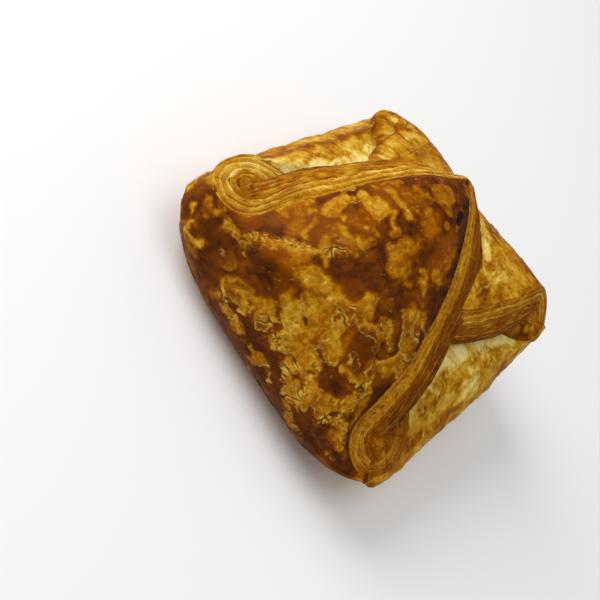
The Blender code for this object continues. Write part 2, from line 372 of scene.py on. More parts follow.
BAKES = {
    "front": Bake(0.80, 0.80, (0.0, 40.0), 0.42, -0.05, 0.0, 1.0),
    "left": Bake(0.04, 0.46, (30.0, 54.0), 0.34, 0.35, 0.30, 0.10),
    "right": Bake(0.06, 0.37, (31.0, 56.0), 0.34, 0.30, 0.42, 0.20),
    "back": Bake(0.24, 0.46, (12.0, 50.0), 0.44, 0.40, 0.20, 0.35),
}

BLISTER, PLATE, CRUMB, PITS, BURN, GLOW, SCORCH, FLAKY, TEAR = range(9)
CREAM, STRAW, GOLD, TOFFEE, BROWN = range(9, 14)
STAINS = {BROWN: 0.60, TOFFEE: 0.48, GOLD: 0.34, STRAW: 0.18, CREAM: 0.04}

# Marks on the front flap. Each is its kind, the ends of its middle line and its radius at each
# end. A place is given in millimetres across from the flap's middle line, to the right, and up
# from the roll's widest line.
FRONT_MARKS = [
    (BLISTER, [(-2.5, 81.5), (-1, 85.5)], [3.4, 3.1]),
    (BLISTER, [(0.5, 81), (3.5, 80)], [2.4, 1.5]),
    (BLISTER, [(5.5, 75.5)], [1.6]),
    (BLISTER, [(-22, 53), (-21.5, 47)], [2.1, 2.9]),
    (GOLD, [(-22, 53), (-21.5, 47)], [1.9, 2.7]),
    (BLISTER, [(-25.5, 7.5)], [3.0]),
    (BLISTER, [(-3, 59), (-4, 56.5)], [1.5, 1.3]),
    (BLISTER, [(-6.5, 50), (-7, 47)], [1.6, 1.4]),
    (BLISTER, [(19.5, 60)], [1.0]),
    (PLATE, [(1, 44.5)], [1.1]),
    (PLATE, [(-41, 14)], [1.1]),
    (PLATE, [(-45, 7.5)], [0.9]),
    (PLATE, [(-39, 20.5)], [0.9]),
    (PLATE, [(-34, 7.5)], [0.7]),
    (PLATE, [(-42, 4), (-40.5, 3.5)], [1.4, 1.0]),
    (PLATE, [(-45, 3.5)], [1.0]),
    (PLATE, [(-35, 3)], [1.7]),
    (PLATE, [(-29, 7)], [0.9]),
    (PLATE, [(13.5, 61.5), (16, 61.5)], [1.8, 2.0]),
    (PLATE, [(15, 56), (13, 55)], [2.1, 1.1]),
    (PLATE, [(10, 52)], [1.0]),
    (PLATE, [(2, 55), (6, 53.5)], [4.0, 3.2]),
    (PLATE, [(3, 63), (3, 57.5)], [1.6, 2.6]),
    (PLATE, [(-15, 45.5), (-8, 45)], [2.3, 2.5]),
    (PLATE, [(-11, 39.5), (-8, 41.5)], [3.3, 2.5]),
    (PLATE, [(-14.5, 40), (-14.5, 36)], [1.7, 1.4]),
    (PLATE, [(19.5, 47.5), (25.5, 43.5)], [3.4, 3.8]),
    (PLATE, [(27.5, 41.5), (30, 35)], [3.4, 2.5]),
    (PLATE, [(22.5, 51), (26.5, 51)], [2.3, 2.3]),
    (PLATE, [(6, 38.5), (9, 36)], [3.2, 2.8]),
    (PLATE, [(7.5, 34), (11.5, 32)], [2.7, 2.7]),
    (PLATE, [(-9, 28), (-5, 30)], [3.4, 3.0]),
    (PLATE, [(0, 33), (2.5, 27.5)], [3.0, 2.7]),
    (PLATE, [(-3, 25.5), (5.5, 24)], [2.7, 3.2]),
    (PLATE, [(15, 32), (18.5, 26.5)], [5.4, 5.3]),
    (PLATE, [(8.5, 22.5), (12.5, 22.5)], [3.2, 3.0]),
    (PLATE, [(-6.5, 19.5), (-2.5, 18)], [3.4, 3.4]),
    (PLATE, [(-9, 13), (-6, 9.5)], [3.0, 3.0]),
    (PLATE, [(1.5, 17), (7, 18.5)], [2.5, 2.5]),
    (PLATE, [(6, 14), (12.5, 16.5)], [3.0, 3.0]),
    (PLATE, [(-20.5, 4), (-13.5, 7.5)], [2.8, 3.4]),
    (PLATE, [(-11.5, 6)], [2.5]),
    (PLATE, [(-20.5, 0)], [2.5]),
    (PLATE, [(14.5, 10)], [1.8]),
    (PLATE, [(21, 12.5), (26, 10.5)], [2.1, 1.6]),
    (PLATE, [(31.5, 25), (33.5, 17.5)], [1.8, 1.4]),
    (PLATE, [(32.5, 11.5), (40.5, 10)], [1.6, 1.1]),
    (GOLD, [(-14, 66.5), (-3.5, 65.5)], [1.8, 1.6]),
    (GOLD, [(-18, 58), (-11.5, 58)], [2.4, 2.4]),
    (GOLD, [(-20.5, 55), (-21.5, 51)], [1.8, 2.2]),
    (GOLD, [(-6, 59.5), (-7.5, 62.5)], [1.1, 1.1]),
    (GOLD, [(-14, 61), (-10, 60)], [2.0, 2.0]),
    (BROWN, [(-8, 64)], [1.0]),
    (TOFFEE, [(-8, 75), (-3.5, 77)], [1.8, 1.1]),
    (TOFFEE, [(14, 73), (16, 67)], [1.5, 1.5]),
    (TOFFEE, [(0, 69), (5, 70.5)], [1.5, 1.5]),
    (TOFFEE, [(-13.5, 71.5), (-17, 68)], [1.5, 1.5]),
    (TOFFEE, [(-6, 43.5), (-4.5, 38)], [0.9, 0.9]),
    (GOLD, [(14.5, 61), (18, 61.5)], [1.5, 1.3]),
    (TOFFEE, [(1.5, 59), (3.5, 51)], [3.0, 3.0]),
    (TOFFEE, [(-26.5, 40), (-22.5, 35)], [1.8, 2.2]),
    (GOLD, [(-25, 42)], [0.8]),
    (GOLD, [(-22, 41.5), (-20, 35.5)], [1.0, 1.0]),
    (TOFFEE, [(-20.5, 30), (-15, 31)], [2.4, 2.4]),
    (PITS, [(-13, 67), (-2.5, 66.5)], [1.0, 1.0]),
    (PITS, [(-17, 60.5), (-11.5, 59.5)], [1.0, 1.0]),
    (PITS, [(-20.5, 55), (-15, 56)], [0.9, 0.9]),
    (PITS, [(-19.5, 50)], [0.9]),
    (PITS, [(-9, 57.5)], [0.9]),
    (PITS, [(3, 51)], [0.9]),
    (PITS, [(-3, 77)], [0.5]),
    (TOFFEE, [(-43.5, 8), (-34.5, 14.5)], [1.0, 0.8]),
    (GOLD, [(-38.5, 14), (-40, 10)], [1.1, 0.9]),
    (GOLD, [(-35, 11), (-29.5, 15)], [1.1, 1.8]),
    (CREAM, [(-42.5, 3)], [0.9]),
    (STRAW, [(-45.5, 4), (-41, 1)], [0.7, 0.9]),
    (STRAW, [(-41, 0), (-34, 2)], [0.9, 1.0]),
    (CRUMB, [(-15, 35), (-19.5, 31)], [1.3, 1.5]),
    (CRUMB, [(-19.5, 31), (-24.5, 25.5)], [1.5, 1.8]),
    (CRUMB, [(-24.5, 25.5), (-26.5, 18)], [2.3, 2.2]),
    (CRUMB, [(-26.5, 18), (-29.5, 13)], [2.0, 1.3]),
    (CRUMB, [(27.5, 24), (27.5, 19)], [3.2, 2.7]),
    (CRUMB, [(16, 39.5), (21.5, 38)], [2.0, 1.8]),
    (CRUMB, [(2.5, 12)], [2.5]),
    (CRUMB, [(13.5, 13), (17.5, 13.5)], [1.6, 1.6]),
    (CRUMB, [(-15, 0), (-7.5, 1.5)], [1.8, 1.6]),
    (CRUMB, [(29.5, 15), (36, 11.5)], [1.8, 1.6]),
    (CRUMB, [(28.5, 39.5), (31.5, 37)], [1.6, 2.1]),
    (BURN, [(6.6, 84.3), (7.4, 80.9)], [1.4, 1.3]),
    (BURN, [(5.5, 88.5)], [0.9]),
    (GLOW, [(-19, 43), (-28, 36)], [6.0, 5.0]),
    (GLOW, [(-14, 29), (-23, 22)], [4.6, 3.4]),
    (GLOW, [(10, 74.5), (14, 64.5)], [3.4, 3.4]),
    (GLOW, [(1.5, 73), (4.5, 68.5)], [2.5, 2.7]),
    (GLOW, [(-33, 29), (-34.5, 13)], [3.4, 2.3]),
    (GLOW, [(-6.5, 70), (-15.5, 66.5)], [3.4, 2.7]),
    (GLOW, [(29.5, 33), (27.5, 30.5)], [3.0, 2.7]),
    (GLOW, [(3, 32), (8.5, 25.5)], [6.5, 6.0]),
    (GLOW, [(-12, 68), (-13, 52)], [4.0, 4.0]),
    (FLAKY, [(0, 8), (22, 8)], [9.0, 9.0]),
    (FLAKY, [(2, 24), (22, 30)], [8.0, 9.0]),
    (FLAKY, [(24, 44)], [7.0]),
    (FLAKY, [(-14, 4)], [6.0]),
    (FLAKY, [(-11, 40)], [4.0]),
    (SCORCH, [(16.5, 30), (17.5, 27)], [4.6, 4.2]),
    (SCORCH, [(19, 18)], [3.4]),
    (SCORCH, [(3.5, 6), (12, 2.5)], [2.4, 2.0]),
    (SCORCH, [(21, 2), (29.5, 4)], [1.2, 1.4]),
    (SCORCH, [(35.5, 25.5), (39.5, 14.5)], [2.4, 2.4]),
    (SCORCH, [(31, 33), (35.5, 28)], [2.0, 2.0]),
    (SCORCH, [(22, 58), (27, 46)], [3.0, 1.5]),
    (SCORCH, [(-7, 39), (1.5, 37.5)], [2.6, 3.0]),
    (SCORCH, [(-4, 38), (3, 44)], [4.0, 3.5]),
    (SCORCH, [(-21.5, 18), (-13, 18)], [4.4, 4.4]),
    (SCORCH, [(-31, 33), (-29.5, 25.5)], [2.4, 2.6]),
    (SCORCH, [(-28, 1.5), (-22.5, 1.5)], [2.8, 2.2]),
    (SCORCH, [(-36, 6), (-28, 8)], [2.4, 2.4]),
]

# Marks on the other flaps, seen from outside each of them.
LEFT_MARKS = [
    (CREAM, [(-9, 34), (24, 30.5)], [3.8, 3.4]),
    (CREAM, [(-16, 30), (-22, 34)], [3.0, 2.0]),
    (TOFFEE, [(-1, 25.5), (15, 26)], [3.2, 2.0]),
    (GOLD, [(16.5, 24.5), (23.5, 25)], [1.4, 1.3]),
    (GOLD, [(-24, 28), (-12, 26)], [2.0, 1.4]),
    (STRAW, [(24, 24), (34, 22)], [3.6, 3.8]),
    (BROWN, [(-24, 20), (0.5, 20.5)], [1.4, 1.2]),
    (BROWN, [(5, 19), (20, 18)], [1.2, 1.2]),
    (BROWN, [(-34, 14), (-24, 24)], [2.0, 1.2]),
    (TEAR, [(1.5, 29), (9.5, 31)], [0.1, 0.1]),
    (TEAR, [(-8.5, 36), (-18, 29.5)], [0.1, 0.1]),
    (TEAR, [(-4, 33), (-4.5, 28)], [0.1, 0.1]),
    (TEAR, [(18, 33), (19, 27)], [0.1, 0.1]),
]
RIGHT_MARKS = [
    (CREAM, [(27, 31.5), (10.5, 34.5)], [4.0, 3.8]),
    (CREAM, [(3.5, 33), (-4.5, 33)], [3.4, 3.0]),
    (CREAM, [(-10, 32), (-20, 29)], [2.2, 2.2]),
    (TOFFEE, [(-36, 12), (-32, 20)], [3.0, 2.0]),
    (CREAM, [(6.5, 20.5), (-3.5, 17.5)], [1.0, 0.9]),
    (CREAM, [(-15, 30), (-12, 24)], [0.9, 0.6]),
    (CREAM, [(-24, 27.5), (-25.5, 25)], [1.2, 1.0]),
    (STRAW, [(13, 29), (6.5, 24)], [1.8, 1.3]),
    (GOLD, [(1.5, 28), (-2.5, 25)], [2.4, 2.0]),
    (GOLD, [(19.5, 27), (11, 21)], [1.4, 1.4]),
    (GOLD, [(-9, 27.5), (-16, 24)], [2.2, 2.0]),
    (GOLD, [(-17.5, 21), (-27.5, 20.5)], [1.8, 1.8]),
    (TOFFEE, [(0, 24.5), (-3.5, 22.5)], [1.2, 1.0]),
    (TOFFEE, [(-12.5, 23), (-19, 21.5)], [1.2, 1.2]),
    (TOFFEE, [(28, 16), (19.5, 15.5)], [1.4, 1.2]),
    (TOFFEE, [(-3.5, 16.5), (-14.5, 15)], [1.2, 1.6]),
    (BROWN, [(-23.5, 17), (-32, 15)], [1.8, 1.8]),
    (TEAR, [(-14.5, 32), (-12, 24)], [0.1, 0.1]),
    (TEAR, [(-21.5, 30), (-19.5, 22.5)], [0.1, 0.1]),
    (TEAR, [(-3, 35), (-1, 30)], [0.1, 0.1]),
    (TEAR, [(9, 31), (8, 26)], [0.1, 0.1]),
    (TEAR, [(-8.5, 29), (-9, 24.5)], [0.1, 0.1]),
    (TEAR, [(15, 31), (12, 24)], [0.1, 0.1]),
]
BACK_MARKS = [
    (CREAM, [(-8, 50), (-11.5, 53.5)], [1.8, 1.4]),
    (STRAW, [(-1, 43), (-7, 47)], [2.4, 2.2]),
    (GOLD, [(-16, 46), (-24, 44)], [2.4, 2.2]),
    (CREAM, [(14, 48), (20, 52)], [2.2, 2.0]),
    (STRAW, [(-20, 51), (-20.5, 56)], [2.2, 1.6]),
    (STRAW, [(4, 40), (14, 42)], [2.0, 2.0]),
    (TOFFEE, [(-14.5, 54), (-19, 63)], [1.1, 1.1]),
    (TOFFEE, [(-25, 54.5), (-25, 63)], [1.2, 1.2]),
    (TOFFEE, [(2, 52), (8, 56)], [1.4, 1.4]),
    (BROWN, [(-20.5, 61.5), (-23, 63)], [1.6, 1.4]),
    (BROWN, [(-21, 38), (-28.5, 37)], [1.2, 1.2]),
    (TEAR, [(-14.5, 51.5), (-17.5, 55)], [0.1, 0.1]),
    (TEAR, [(-19, 59.5), (-20, 63.5)], [0.1, 0.1]),
    (TEAR, [(-4, 41), (-12, 43)], [0.1, 0.1]),
]
FLAP_MARKS = {"front": FRONT_MARKS, "left": LEFT_MARKS, "right": RIGHT_MARKS, "back": BACK_MARKS}


def seam_share(points, flap_name):
    """How far each point counts as its neighbour's: half at a corner's seam, nothing elsewhere."""
    shares = {}
    for other, flap in FLAPS.items():
        if other == flap_name:
            continue
        shared = {flap.left, flap.right} & {FLAPS[flap_name].left, FLAPS[flap_name].right}
        share = np.zeros(points.shape[:-1])
        for name in shared:
            corner = CORNERS[name]
            turn = math.radians(corner.turn)
            x, y = points[..., 0] - corner.at[0], points[..., 1] - corner.at[1]
            radial = x * math.cos(turn) + y * math.sin(turn)
            tangent = y * math.cos(turn) - x * math.sin(turn)
            share = share + 0.5 * (1.0 - ease(np.abs(tangent) / 9.0)) * ease(radial / 5.0)
        shares[other] = share
    return shares


def baked(points, flap_name):
    """Each of the flap's bake values at each point, blended into its neighbours' at the seams."""
    shares = seam_share(points, flap_name)
    shares[flap_name] = 1.0 - sum(shares.values())
    level, patch, cover, streaks, crisp = (np.zeros(points.shape[:-1]) for _ in range(5))
    for name, share in shares.items():
        bake = BAKES[name]
        out = np.array(FLAPS[name].out) / np.linalg.norm(FLAPS[name].out)
        reach = points[..., :2] @ out
        near, far = bake.shelter
        level += share * blend(bake.inner, bake.outer, ease((reach - near) / (far - near)))
        patch += share * bake.patch
        cover += share * bake.cover
        streaks += share * bake.streaks
        crisp += share * bake.crisp
    return level, patch, cover, streaks, crisp


def mark_depth(points, marks, kind):
    """How deep each point lies inside the marks of one kind, mm; negative outside."""
    depth = np.full(points.shape[:-1], -50.0)
    for mark_kind, start, end, start_radius, end_radius in marks:
        if mark_kind != kind:
            continue
        axis = end - start
        t = np.clip((points - start) @ axis / max(axis @ axis, 1e-9), 0.0, 1.0)
        gap = np.linalg.norm(points - start - t[..., None] * axis, axis=-1)
        depth = np.maximum(depth, blend(start_radius, end_radius, t) - gap)
    return depth


def ridge(value, centre, width):
    """1 where value is at centre, falling to nothing on either side."""
    return np.exp(-((value - centre) / width) ** 2)


FOOT_BAND = 6.5            # height of the frayed line round the foot
CREST_START = 50.0         # height above which the back roll's crest is flaky


def stained(toast, marks, ragged, torn, clouds, crisp):
    """The browning with the listed stains laid over it, darkest first."""
    for kind, stain in STAINS.items():
        depth = mark_depth(ragged, marks, kind) + 0.7 * torn + 1.8 * clouds * (1.0 - crisp)
        own = stain + 0.12 * clouds + 0.10 * torn - 0.04 * ease(depth / 2.0)
        toast = blend(toast, own, 0.92 * ease(depth / (2.5 - 1.0 * crisp) + 0.5))
        toast = toast + 0.05 * ridge(depth, -0.7, 0.6)
    return toast


def crumb_fields(points, marks, ragged, torn):
    """Open crumb and rows of pits: share of crumb, holes, their pale rims and the crumb's grain."""
    crumb = ease((mark_depth(ragged, marks, CRUMB) + torn) / 1.4 + 0.5)
    pitted = ease((mark_depth(ragged, marks, PITS) + 0.8 * torn) / 0.8 + 0.5)
    gap, _, own = cells(warped(points, 3.0, 0.8, 199) / 1.7, 201)
    holed = (own > 0.66) * np.maximum(0.7 * crumb, pitted)
    # Holes in the crumb: lowered in the relief and painted near black as shade.
    pit = ease((0.24 - gap) / 0.12) * holed
    rim = 0.8 * ridge(gap, 0.42, 0.12) * holed * ease(torn * 2.0 + 0.8)
    grain_gap, _, grain_own = cells(warped(points, 1.2, 0.3, 211) / 0.9, 221)
    grain = ease((0.55 - grain_gap) / 0.2) * crumb
    rim = np.maximum(rim, 0.85 * grain * ease((grain_own - 0.50) / 0.1) * ease(torn * 2.0 + 0.8))
    pit = np.maximum(pit, grain * ease((0.16 - grain_own) / 0.05) * 0.7)
    return crumb, pit, rim, grain_own - 0.5


def stretch_fields(points, marks, across, streaks, torn):
    """Folds and torn strands where the dough was stretched over the filling, with painted shade beside the tears.
    """
    lines = np.array([0.06, 0.17, 0.11]) if across else np.array([0.17, 0.06, 0.11])
    folds = noise(warped(points, 9.0, 2.0, 229) * lines, 231) + 0.5 * noise(points * lines * 2.3, 233)
    strand = ridge(noise(warped(points, 6.0, 1.2, 235) * lines * 1.7, 237), 0.0, 0.07)
    strand = strand * ease(layered(points, 7.0, 2, 239) * 3.5 - 0.4) * streaks / 0.4
    placed = mark_depth(warped(points, 4.0, 1.2, 243), marks, TEAR)
    tear = ridge(placed, 0.0, 0.45) * ease(torn * 2.0 + 0.8)
    shade = ridge(placed, -1.0, 0.5) * 0.5
    return folds * streaks, np.maximum(strand, tear), shade


def crust_fields(points, flap_name, marks):
    """Relief in mm and the looks of a flap's skin at each of its points."""
    level, patch_level, cover, streaks, crisp = baked(points, flap_name)
    for corner in (CORNERS[FLAPS[flap_name].left], CORNERS[FLAPS[flap_name].right]):
        gap = np.linalg.norm(points[..., :2] - np.array(corner.at), axis=-1) - corner.wall
        streaks = streaks * ease(gap / 8.0)
    brown = ease((level - 0.25) / 0.3)
    ragged = warped(points, 4.5, 1.6, 101)
    torn = layered(points, 2.4, 4, 131, 0.65)
    tone = layered(points, 16.0, 3, 151)
    clouds = layered(points, 5.0, 3, 145)
    mottle = layered(warped(points, 8.0, 2.5, 147), 6.5, 4, 149, 0.6)
    scorch = ease(mark_depth(warped(points, 7.0, 2.5, 143), marks, SCORCH) / 2.5 + 0.5)
    glow = ease(mark_depth(warped(points, 9.0, 3.0, 141), marks, GLOW) / 4.0 + 0.5)
    flaky = ease(mark_depth(warped(points, 6.0, 2.0, 159), marks, FLAKY) / 5.0 + 0.5)
    sharp = crisp * ease(1.5 * flaky + layered(points, 9.0, 2, 157) - 0.15)
    broken = ease(torn * 2.0 + 0.75)

    loose = layered(ragged, 8.5, 4, 171, 0.55)
    scattered = (loose + 0.55 * cover + 0.34 * flaky - 0.40 * scorch - 0.26) * 9.0 + 0.6 * torn
    plate = np.maximum(mark_depth(ragged, marks, PLATE) + 1.3 * torn, scattered)
    on_plate = ease(plate / blend(2.6, 0.6, sharp) + 0.5)
    near, next_near, shard = cells(warped(points, 5.0, 2.0, 193) / 6.5, 195)
    border = (next_near - near) * 3.25
    split = ease(layered(points, 8.0, 2, 197) * 3.5 - 0.2) * on_plate * sharp
    rim = ridge(plate, 0.3, 0.30) * ease(layered(points, 7.0, 2, 181) * 2.2 + 0.35) * sharp * broken
    rim = np.maximum(rim, ridge(border, 0.38, 0.2) * split * broken * ease(plate / 1.0))
    web = ridge(layered(warped(points, 3.5, 1.4, 265), 5.5, 2, 267), 0.0, 0.035) * ease(plate) * sharp * broken
    rim = np.maximum(rim, 0.6 * web)
    # Painted shade: lines just outside the plates and along the splits between shards are lowered in the relief and
    # turned near black in the material.
    crack = ridge(plate, -0.30, 0.15) * ease(layered(points, 9.0, 2, 191) * 4.0 - 0.5) * sharp
    crack = np.maximum(crack, ridge(border, 0.0, 0.12) * split)

    freckle_gap, _, freckle_own = cells(warped(points, 3.0, 0.6, 205) / 3.1, 207)
    freckle = ease((0.10 + 0.9 * (freckle_own - 0.66) - freckle_gap) / 0.12) * (freckle_own > 0.66)
    freckle = freckle * brown * ease(mottle * 2.0 + 0.8)
    blister = mark_depth(warped(points, 6.0, 0.7, 161), marks, BLISTER) + 0.30 * torn
    on_blister = ease(blister / 0.9 + 0.5)
    crumb, pit, crumb_rim, speckle = crumb_fields(points, marks, ragged, torn)
    rim = np.maximum(rim, crumb_rim)
    # Painted highlights: tiny pale specks on the glazed plates stand in for the glaze's glints, laid in with the
    # pale crumb colour.
    glint_gap, _, glint_own = cells(warped(points, 2.0, 0.5, 261) / 1.15, 263)
    glint_specks = ease((0.20 + 0.5 * (glint_own - 0.80) - glint_gap) / 0.15) * (glint_own > 0.80) * ease(mottle * 3.0 + 0.6)
    rim = np.maximum(rim, 0.45 * glint_specks * crisp)
    burn = mark_depth(points, marks, BURN) + 0.8 * torn

    toast = level + 0.14 * tone + 0.14 * clouds + 0.10 * torn * brown
    toast = toast - brown * (0.22 * glow + 0.22 * ease(mottle * 2.5) - 0.06)
    toast = blend(toast, toast - 0.24, 0.8 * freckle)
    centre = ease((plate - 2.0) / 3.5) * ease(layered(points, 18.0, 2, 203) * 3.0 + 0.5)
    on_top = patch_level + 0.30 * (shard - 0.5) * sharp + 0.20 * clouds + 0.10 * torn
    on_top = on_top + 0.22 * centre * sharp - 0.10 * ease(plate / 3.0) * (1.0 - sharp)
    toast = blend(toast, on_top, on_plate * blend(0.75, 0.95, crisp))
    toast = blend(toast, 0.46 + 0.14 * clouds + 0.12 * torn, on_blister * 0.9)
    toast = stained(toast, marks, ragged, torn, clouds, crisp)
    toast = blend(toast, 0.38 + 0.14 * clouds + 0.12 * speckle, crumb * 0.85)
    toast = blend(toast, np.maximum(toast, 0.83 + 0.10 * clouds + 0.08 * torn), scorch * 0.88)
    toast = toast + 0.07 * ridge(blister, -0.5, 0.4)
    fibre = layered(points * np.array([1.0, 1.0, 0.25]) if flap_name != "front" else points, 1.3, 2, 251)
    toast = toast + 0.13 * fibre * (1.0 - ease((toast - 0.55) / 0.2))
    foot = ease((FOOT_BAND - points[..., 2]) / 2.5 + 0.9 * layered(points * [1.0, 1.0, 3.0], 5.0, 3, 253))
    toast = blend(np.clip(toast, 0.0, 0.90), 0.36 + 0.20 * clouds + 0.16 * torn, 0.8 * foot)
    toast = blend(toast, 1.0, ease(burn / 0.8 + 0.5))

    seam = ridge(layered(points * [1.0, 1.0, 4.5], 6.0, 3, 255), 0.05, 0.05) * foot
    rim = np.maximum(rim, seam * broken)
    # Painted shade: a near-black line beside the foot's pale seam.
    crack = np.maximum(crack, 0.8 * ridge(layered(points * [1.0, 1.0, 4.5], 6.0, 3, 255), 0.18, 0.035) * foot)

    folds, strand, shade = stretch_fields(points, marks, flap_name in ("left", "right"), streaks, torn)
    # Painted shade: browning is darker in the folds' troughs and paler on their crests, and darker beside the
    # tears.
    toast = toast - 0.25 * folds + 0.22 * shade
    rim = np.maximum(rim, 0.6 * strand)
    relief = on_plate * (0.06 + 0.16 * sharp) + 0.30 * ease(plate / 5.0) + 0.45 * ease(blister / 2.5)
    relief += 0.10 * on_blister + 0.12 * rim + 0.10 * torn + 0.35 * clouds + 0.12 * freckle
    crest = ease((points[..., 2] - CREST_START) / 4.0) * (flap_name == "back")
    relief += 1.5 * crest * np.abs(layered(warped(points, 4.0, 1.5, 257), 4.5, 3, 259, 0.6))
    relief += folds + 0.28 * strand - 0.45 * crack - 0.5 * pit + 0.12 * crumb * speckle
    relief += 0.05 * layered(points, 1.0, 2, 241)
    amber = brown * (0.4 * ease(tone * 2.0) + 0.6 * glow + 0.3 * centre) * (1.0 - 0.6 * on_plate)
    return {
        "relief": relief,
        "toast": toast,
        "rim": np.clip(rim, 0.0, 1.0),
        # Cracks and pits, painted near black as shade.
        "crack": np.clip(np.maximum(crack, pit), 0.0, 1.0),
        "amber": np.clip(amber, 0.0, 1.0),
    }


# ---------------------------------------------------------------- meshes
def add_attributes(mesh, values):
    for name, value in values.items():
        attribute = mesh.attributes.new(name, "FLOAT", "POINT")
        attribute.data.foreach_set("value", np.ascontiguousarray(value, dtype=np.float32))


def make_piece(name, points, faces, face_uvs, values, material):
    """A mesh object with its attributes, its map for baking and its place in the frame."""
    mesh = bpy.data.meshes.new(name)
    mesh.from_pydata((np.asarray(points) * MM).tolist(), [], faces)
    add_attributes(mesh, values)
    uv_map = mesh.uv_layers.new(name="OFBake")
    uv_map.data.foreach_set("uv", np.asarray(face_uvs, dtype=np.float32).ravel())
    mesh.materials.append(material)
    mesh.shade_smooth()
    piece = bpy.data.objects.new(name, mesh)
    bpy.context.scene.collection.objects.link(piece)
    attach(piece, "root")
    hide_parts("pastry")
    return piece


def grid_normals(points):
    """Outward directions of a grid of rows going up and columns going right."""
    up = np.gradient(points, axis=0)
    across = np.gradient(points, axis=1)
    normals = unit(np.cross(across, up))
    return normals


def grid_place(row, column, rows, columns):
    """Where a grid's point lies on the map."""
    return (MAP_EDGE + (1.0 - 2.0 * MAP_EDGE) * column / (columns - 1),
            MAP_EDGE + (1.0 - 2.0 * MAP_EDGE) * row / (rows - 1))


MAP_EDGE = 0.03            # share of the map kept free for a sheet's lip and back
LIP_STEP = 0.012


def sheet_piece(name, grid, normals, values, heart, material):
    """A closed piece from a grid whose last row is one point: its skin, a thin lip and a back."""
    rows, columns = grid.shape[:2]
    tip = (rows - 1) * columns
    kept = {key: np.append(value[:-1].ravel(), value[-1, 0]) for key, value in values.items()}
    places = np.vstack([grid[:-1].reshape(-1, 3), grid[-1, :1]])
    outward = np.vstack([normals[:-1].reshape(-1, 3), normals[-1, :1]])

    def number(row, column):
        return tip if row == rows - 1 else row * columns + column

    faces, uvs = [], []
    for row, column in product(range(rows - 1), range(columns - 1)):
        ring = [(row, column), (row, column + 1), (row + 1, column + 1), (row + 1, column)]
        if row == rows - 2:
            ring = ring[:2] + [(row + 1, column + 0.5)]
        faces.append([number(r, int(c)) for r, c in ring])
        uvs.extend(grid_place(r, c, rows, columns) for r, c in ring)

    bottom = [((0, c), (0, c + 1), (0.0, -1.0)) for c in range(columns - 1)]
    right = [((r, columns - 1), (r + 1, columns - 1), (1.0, 0.0)) for r in range(rows - 1)]
    left = [((r + 1, 0), (r, 0), (-1.0, 0.0)) for r in reversed(range(rows - 1))]
    loop = bottom + right + left
    rim = [number(*start) for start, _, _ in loop]
    lip = places[rim] - SKIN * outward[rim]
    first = len(places)
    back = first + len(rim)
    lip_number = {vertex: first + k for k, vertex in enumerate(rim)}
    for start, end, (du, dv) in loop:
        a, b = number(*start), number(*end)
        ua, ub = (np.array(grid_place(*point, rows, columns)) for point in (start, end))
        step = LIP_STEP * np.array([du, dv])
        faces.append([a, lip_number[a], lip_number[b], b])
        uvs.extend([ua, ua + step, ub + step, ub])
        faces.append([lip_number[a], back, lip_number[b]])
        uvs.extend([ua + step, (ua + ub) / 2 + 2 * step, ub + step])
    places = np.vstack([places, lip, [heart]])
    extra = {key: np.concatenate([value, value[rim], value[:1]]) for key, value in kept.items()}
    return make_piece(name, places, faces, uvs, extra, material)


def strip_piece(name, sections, values, material):
    """A closed tube through sections, each a ring of points, with both ends capped."""
    stations, count = sections.shape[:2]
    faces, uvs = [], []
    for i, j in product(range(stations - 1), range(count)):
        after = (j + 1) % count
        faces.append([i * count + j, (i + 1) * count + j, (i + 1) * count + after, i * count + after])
        low, high = i / (stations - 1), (i + 1) / (stations - 1)
        side, next_side = j / count, (j + 1) / count
        uvs.extend([(side, low), (side, high), (next_side, high), (next_side, low)])
    for i, turn in ((0, 1), (stations - 1, -1)):
        ring = [i * count + j for j in range(count)][::turn]
        faces.append(ring)
        uvs.extend([(0.5, i / (stations - 1))] * count)
    flat = {key: value.ravel() for key, value in values.items()}
    return make_piece(name, sections.reshape(-1, 3), faces, uvs, flat, material)


# ---------------------------------------------------------------- the flaps' skins
SKIN = 0.8                 # thickness of the skin where its edge shows
# How much browner each flap's skin is along its left and its right edge.
GRIDS = {"front": (24, 306, 280), "left": (16, 224, 200), "right": (16, 224, 200), "back": (16, 224, 200)}


EDGE_TOASTS = {"front": (-0.12, 0.12), "left": (0.0, 0.06), "right": (0.06, 0.0), "back": (0.06, 0.10)}


def surface_marks(grid, rows_low, marks):
    """Turn marks given across and up a flap into places on its sheet."""
    middle = grid.shape[1] // 2
    climbed = distances(grid[rows_low:, middle])
    found = []
    for kind, ends, radii in marks:
        places = []
        for across, up in ends:
            row = rows_low + int(np.searchsorted(climbed, up))
            row = min(row, grid.shape[0] - 2)
            reach = distances(grid[row]) - distances(grid[row])[middle]
            places.append(grid[row, int(np.clip(np.searchsorted(reach, across), 0, grid.shape[1] - 1))])
        found.append((kind, places[0], places[-1], radii[0], radii[-1]))
    return found


def smooth_normals(points):
    normals = grid_normals(points)
    normals[-1] = unit(normals[-3].mean(axis=0))
    normals[-2] = unit(normals[-3] + normals[-1])
    return normals


def edge_distance(grid, rows_low, rim_row):
    """Distance of each point from the flap's cut edges, which begin at the top of its corner walls."""
    reach = np.array([distances(row) for row in grid])
    near = np.minimum(reach, reach[:, -1:] - reach)
    starts = grid[int(rim_row), [0, -1]]
    below = np.linalg.norm(grid[:, :, None] - starts, axis=-1).min(axis=-1)
    walls = np.arange(grid.shape[0])[:, None] < int(rim_row)
    return np.where(walls, below, near)


